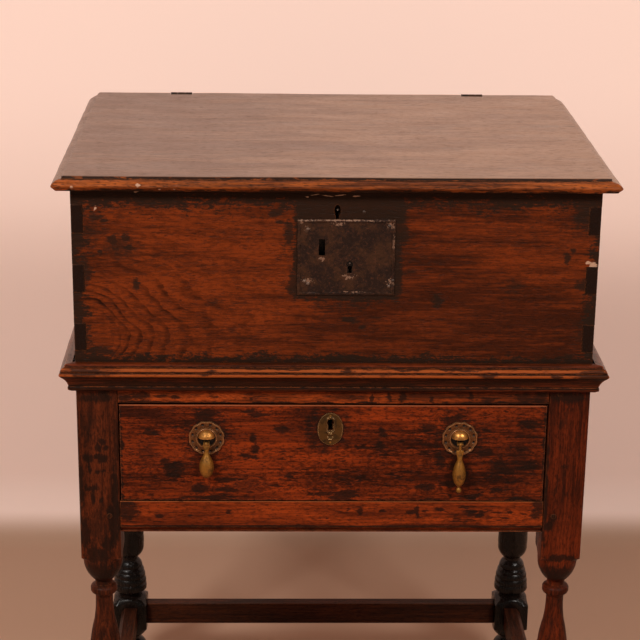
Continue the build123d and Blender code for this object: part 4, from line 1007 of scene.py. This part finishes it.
# The moulding's rebate takes the foot of the box, with a little play.
front_recess, side_recess = STAND_FRONT - BOX_FRONT + 0.5, HALF_BOX - HALF_STAND + 3.4
for node, side, recess, stations, material, seed in (
    ("front_moulding", 0, front_recess, spaced(-1, 1, 0.012), oak_moulding, 1),
    ("left_moulding", -1, side_recess, spaced(0, 1, 0.02), oak_side_moulding, 1),
    ("right_moulding", 1, side_recess, spaced(0, 1, 0.02), oak_side_moulding, 3),
):
    name = node + "_run"
    run = moulding_mesh(name, side, recess, stations, seed)
    new_piece(name, run, "stand", "oak_stand", material, node)

for node, material, seed in (
    ("front_left_leg", oak_left_leg, 1),
    ("front_right_leg", oak_right_leg, 2),
    ("back_left_leg", shaded_oak_back_leg, 3),
    ("back_right_leg", shaded_oak_back_leg, 4),
):
    low, high = extent(node)
    middle = ((low.x + high.x) / 2, (low.y + high.y) / 2)
    new_piece(node + ".turned", leg_mesh(node, middle, seed), "stand", "oak_stand", material, node)

plate = new_piece("lock_plate", plate_mesh(), "stand", "iron", plate_iron, "iron_lock_plate")
for outline in (HASP_HOLE, PLATE_KEYHOLE):
    carve(plate, prism(outline, BOX_FRONT - 9, BOX_FRONT + 9))
plate_face = BOX_FRONT - PLATE_SHEET
NAIL_SPOTS = ((-33.2, 803.5), (-32.8, 738), (61, 807.5), (61.5, 735.5), (66, 742), (-36.5, 741))
heads = [(x, plate_face, z) for x, z in NAIL_SPOTS]
heads.insert(4, (30.9, BOX_FRONT + 0.1, 824.1))  # this one is in the wood above the plate
nails = knobs("plate_nails", heads, 2.1, 1.5)
new_piece("plate_nails", nails, "stand", "iron", bright_iron, "iron_lock_nails")
pins = knobs("key_pins", ((0.6, BOX_FRONT + 4, 826), (15.6, BOX_FRONT + 3, 762.5)), 1.5, 4.2, 0)
new_piece("key_pins", pins, "stand", "iron", bright_iron)

# ---- Brasses on the drawer ----
# Each drop's radius against the way down from its pivot.
PEAR = (
    (4.4, 1.5), (4.5, 2.4), (4, 4), (3.1, 6.2), (2.5, 8.9), (2.9, 11.5), (3.9, 14.4), (5.6, 18), (7.4, 22),
    (8.4, 26), (8.7, 30), (8.3, 34), (7.0, 38), (4.9, 41.3), (2.4, 43.3), (0, 43.9),
)
LONG_PEAR = (
    (1.5, 1.5), (1.6, 7.4), (4.6, 8.0), (4.8, 9.6), (4.0, 13), (3.1, 17), (3.0, 19.4), (3.9, 22), (5.5, 26),
    (6.9, 31.3), (7.8, 36), (8.0, 39), (7.3, 44.3), (5.7, 49.6), (3.3, 53), (1.7, 54.6), (1.5, 55.8),
    (2.6, 57), (3.3, 59.2), (2.9, 61.2), (1.6, 62.4), (0, 62.7),
)
EYE_SECTION = ((-1.3, 1.35), (-1.5, 1.9), (-1.2, 2.4), (1.2, 2.4), (1.5, 1.9), (1.3, 1.35))
ROSE_HEIGHTS = (
    (0, 1.0), (10.2, 1.0), (10.6, 2.6), (11.2, 3.3), (12.0, 3.4), (12.6, 2.8), (13.0, 1.5), (14.0, 1.3),
    (18.6, 1.5), (19.2, 2.2), (20.0, 2.5), (20.8, 2.2), (21.3, 1.2),
)
LOBES = 12  # scallops and pierced eyes of a rosette


def drop_mesh(centre, pivot, profile, flat_to):
    """A pear on a flat tongue, under an eye for the cotter."""
    sides, eye_sides = 28, 20
    points = []
    for r, down in profile:
        depth = r if down > flat_to + 6 else between(down, ((flat_to, min(r, 1.5)), (flat_to + 6, r)))
        for angle in turns(sides):
            x, y = centre + r * cos(angle), pivot.y + depth * sin(angle)
            dent = wobble(x, y, down, 11, 0.12, centre) + wobble(x, y, down, 4, 0.05, centre)
            points.append((x + dent * cos(angle), y + dent * sin(angle), pivot.z - down))
    faces = grid(len(profile), sides, wrap=True) + [tuple(range(sides))]
    start, width = len(points), len(EYE_SECTION)
    for angle in turns(eye_sides):
        points += [(centre + x, pivot.y + r * cos(angle), pivot.z + r * sin(angle)) for x, r in EYE_SECTION]
    faces += grid(eye_sides, width, start, wrap=True)
    last = start + (eye_sides - 1) * width
    faces += [(last + c, last + (c + 1) % width, start + (c + 1) % width, start + c) for c in range(width)]
    return mesh_from("drop", points, faces)


def rose_height(r, angle):
    """How far the rosette stands proud of the drawer at this distance from its middle."""
    base = between(r, ROSE_HEIGHTS)
    spoke = cos(LOBES * angle)
    if 13.2 < r < 19.0:
        base += 0.5 * peak(r - 16, 1.6) * (spoke > -0.2) * (0.6 + 0.4 * spoke)
        base -= 1.3 * peak(r - 17.2, 1.1) * max(0.0, -spoke) ** 3
    return base


def relief_mesh(name, points, sides):
    """Rings of a relief, from the middle out, closed by a flat back on the drawer's front."""
    points += [(x, DRAWER_FRONT, z) for x, _, z in points[-sides:]]
    last = len(points) - sides
    faces = grid(len(points) // sides, sides, wrap=True) + [tuple(range(last, last + sides))]
    return mesh_from(name, points, faces)


def rose_mesh(centre, middle_z, seed):
    """A cast rosette: scalloped rim, twelve pierced eyes and an inner ring."""
    radii = [0, 5.0, 9.8, 10.2, 10.4, 10.6, 10.9, 11.2, 11.6, 12.0, 12.3, 12.6, 12.8, 13.0, 13.4]
    radii += spaced(14, 19, 0.5) + [19.3, 19.6, 20.0, 20.4, 20.8, 21.1, 21.3]
    sides = 12 * LOBES
    points = []
    for r in radii:
        for angle in turns(sides):
            grow = 1 - max(0.0, r - 17) / 4.3 * 0.022 * cos(LOBES * angle)
            x, z = centre + r * grow * cos(angle), middle_z + r * grow * sin(angle)
            h = rose_height(r, angle) + wobble(x, seed, z, 5, 0.14, seed) + wobble(x, seed, z, 14, 0.12, seed)
            points.append((x, DRAWER_FRONT - max(0.3, h), z))
    return relief_mesh("rosette", points, sides)


def hood_mesh(centre, middle_z, lip):
    """A thin half dome, open below its lip."""
    sides = 48
    slopes = spaced(0.05, 1.45, 0.12)
    section = [(10.3, 0.9)] + [(10.3 * cos(a), 1.4 + 9.3 * sin(a)) for a in slopes] + [(0, 10.8), (0, 9.6)]
    section += [(9.1 * cos(a), 1.4 + 8.2 * sin(a)) for a in reversed(slopes)] + [(9.1, 0.9)]
    points = []
    for r, h in section:
        points += [(centre + r * cos(a), DRAWER_FRONT - h, middle_z + r * sin(a)) for a in turns(sides)]
    rows = len(section)
    last = (rows - 1) * sides
    foot = [(k, (k + 1) % sides, (k + 1) % sides + last, k + last) for k in range(sides)]
    bm = bmesh.new()
    bm.from_mesh(mesh_from("hood", points, grid(rows, sides, wrap=True) + foot))
    everything = bm.verts[:] + bm.edges[:] + bm.faces[:]
    at = Vector((centre, DRAWER_FRONT, middle_z + lip)) * MM
    cut = bmesh.ops.bisect_plane(bm, geom=everything, plane_co=at, plane_no=(0, 0, 1), clear_inner=True)
    edges = [e for e in cut["geom_cut"] if isinstance(e, bmesh.types.BMEdge)]
    bmesh.ops.triangle_fill(bm, edges=edges, use_beauty=True)
    bmesh.ops.recalc_face_normals(bm, faces=bm.faces)
    return mesh_of(bm, "hood")


def shield_mesh():
    """The oval escutcheon: slightly domed, with a rim round the keyhole and small relief below."""
    half_width, half_height, sides = 15.4, 20.6, 120
    points = []
    for t in spaced(0, 0.9, 0.03) + [0.93, 0.955, 0.975, 0.99, 1.0]:
        for angle in turns(sides):
            x, z = half_width * t * cos(angle), half_height * t * sin(angle)
            h = 1.5 + 0.9 * (1 - t * t) + 0.35 * peak(t - 0.94, 0.025)
            h += 0.8 * peak(hypot(x, max(0.0, abs(z - 5.5) - 4.5)) - 5.2, 0.8)
            for low, radius, width in ((-5, 3.6, 0.9), (-12.2, 3.0, 0.8)):
                h += 0.9 * peak(hypot(x, z - low - 2) - radius, width) * (z < low + 2.6)
            h -= peak(hypot(x / 2.6, (z + 9) / 1.8), 1)
            h += wobble(x, 3, z, 9, 0.12, 2)
            points.append((SHIELD_X + x, DRAWER_FRONT - (h if t < 1 else 0.5), SHIELD_Z + z))
    return relief_mesh("escutcheon", points, sides)


for side, profile, flat_to in (("left", PEAR, 3), ("right", LONG_PEAR, 12)):
    low, high = extent(side + "_rosette")
    centre, middle_z = (low.x + high.x) / 2, (low.z + high.z) / 2
    low, high = extent(side + "_cotter")
    pivot = Vector((centre, low.y + 0.85, high.z - 0.85))
    rose = rose_mesh(centre, middle_z, centre)
    rose = new_piece(side + "_rose", rose, "drawer", "brass", rose_brass, side + "_rosette")
    rose.data.materials.append(soot_and_shade)
    rose.data.materials.append(dark_brass)
    # Painted shade: the floor under the hood and the pierced eyes take the near-black material.
    for face in rose.data.polygons:
        spot = face.center / MM - Vector((centre, 0, middle_z))
        reach = hypot(spot.x, spot.z)
        hole = 16.1 < reach < 18.3 and cos(LOBES * atan2(spot.z, spot.x)) < -0.45
        face.material_index = 1 if reach < 10.1 or hole else 2 if 12.7 < reach < 19.1 else 0
    new_piece(side + "_hood", hood_mesh(centre, middle_z + 1, 0.6), "drawer", "brass", gold_brass)
    pear = drop_mesh(centre, pivot, profile, flat_to)
    new_piece(side + "_pear", pear, side + "_drop", "brass", old_brass, side + "_drop")

shield = new_piece("oval_escutcheon", shield_mesh(), "drawer", "brass", dull_brass, "escutcheon")
carve(shield, prism(DRAWER_KEYHOLE, DRAWER_FRONT - 9, DRAWER_FRONT + 9))

# ---- Finishes of the solids themselves ----
for name, solid in frame["nodes"].items():
    finish = old_brass if SLOTS[name] == "brass" else soot_and_shade if name.endswith("lock_case") else old_iron
    solid.data.materials.clear()
    solid.data.materials.append(finish)
for name in ("lid", "front_moulding", "left_moulding", "right_moulding"):
    frame["nodes"][name].data.materials[0] = oak_stretcher


# ---- Camera, light, floor and backdrop ----
def view_camera(place, pitch, yaw, roll, focal_length):
    """The photo's viewpoint: place in mm, angles in degrees, down, to the right and clockwise."""
    pitch, yaw, roll = radians(pitch), radians(yaw), radians(roll)
    forward = Vector((sin(yaw) * cos(pitch), cos(yaw) * cos(pitch), -sin(pitch)))
    right = Vector((cos(yaw), -sin(yaw), 0))
    down = forward.cross(right)
    image_right = right * cos(roll) + down * sin(roll)
    image_down = down * cos(roll) - right * sin(roll)
    turn = Matrix((image_right, -image_down, -forward)).transposed().to_4x4()
    lens = bpy.data.cameras.new("camera")
    lens.sensor_width = 36
    lens.lens = focal_length
    camera = add("camera", lens)
    camera.matrix_world = Matrix.Translation(Vector(place) * MM) @ turn
    bpy.context.scene.camera = camera


def backdrop():
    """Floor and wall in one curved sheet under and behind the object, in millimetres."""
    profile = [(-6000, 0), (-2000, 0), (0, 0), (600, 0)]
    profile += [(600 + 100 * sin(a), 100 - 100 * cos(a)) for a in spaced(0.15, pi / 2, 0.15)]
    profile += [(700, 600), (700, 1500), (700, 4000)]
    xs = (-5000, -1500, 0, 1500, 5000)
    mesh = mesh_from("backdrop", [(x, y, z) for y, z in profile for x in xs], grid(len(profile), len(xs)))
    if mesh.polygons[0].normal.z < 0:
        mesh.flip_normals()
    mesh.shade_smooth()
    mesh.materials.append(backdrop_paint())
    piece = add("backdrop", mesh)


def backdrop_paint():
    """A darker floor and a pale wall, lit a little for the camera; seen through from behind."""
    g = Graph("backdrop")
    height = g.split(g.coords)[2]
    colour = g.mix(g.fade(height, 0.004, 0.04), srgb((190, 156, 134)), srgb((244, 214, 202)))
    ray = g.node("LightPath").outputs
    seen = g.most(ray["Is Camera Ray"], ray["Is Glossy Ray"], ray["Is Transmission Ray"])
    # Painted light: the wall glows a little more above half a metre, brighter towards its top.
    lift = g.math("ADD", g.fade(height, 0.004, 0.04, 0.0, 0.12), g.fade(height, 0.5, 0.8, 0.0, 0.13))
    values = {"Base Color": colour, "Roughness": 0.9, "Specular IOR Level": 0.1}
    g.feed_all(g.shader, values | {"Emission Color": colour, "Emission Strength": g.times(seen, lift)})
    back = g.node("NewGeometry").outputs["Backfacing"]
    clear = g.node("BsdfTransparent").outputs[0]
    sides = g.node("MixShader", back, g.shader.outputs[0], clear)
    g.links.new(sides.outputs[0], g.nodes["Material Output"].inputs["Surface"])
    return g.material


def lamp(name, place, size, power):
    """A softbox aimed at the upper half of the object."""
    light = bpy.data.lights.new(name, "AREA")
    light.shape = "RECTANGLE"
    light.size, light.size_y = size
    light.energy = power
    light.color = (1.0, 0.95, 0.89)
    piece = add(name, light)
    piece.location = place
    piece.rotation_euler = (Vector((0, 0, 0.6)) - Vector(place)).to_track_quat("-Z", "Y").to_euler()


view_camera((-74.5, BOX_FRONT - 2048.6, STAND_HEIGHT + 747.2), 18.713, 1.582, -0.750, 104.0625)
backdrop()
lamp("left_softbox", (-2.2, -3.0, 3.5), (1.2, 0.9), 118)
lamp("right_softbox", (2.2, -3.0, 3.3), (1.2, 0.9), 82)
world = bpy.data.worlds.new("room")
world.use_nodes = True
world.node_tree.nodes["Background"].inputs["Color"].default_value = srgb((255, 232, 214))
world.node_tree.nodes["Background"].inputs["Strength"].default_value = 0.2
bpy.context.scene.world = world
bpy.context.scene.view_settings.view_transform = "Standard"
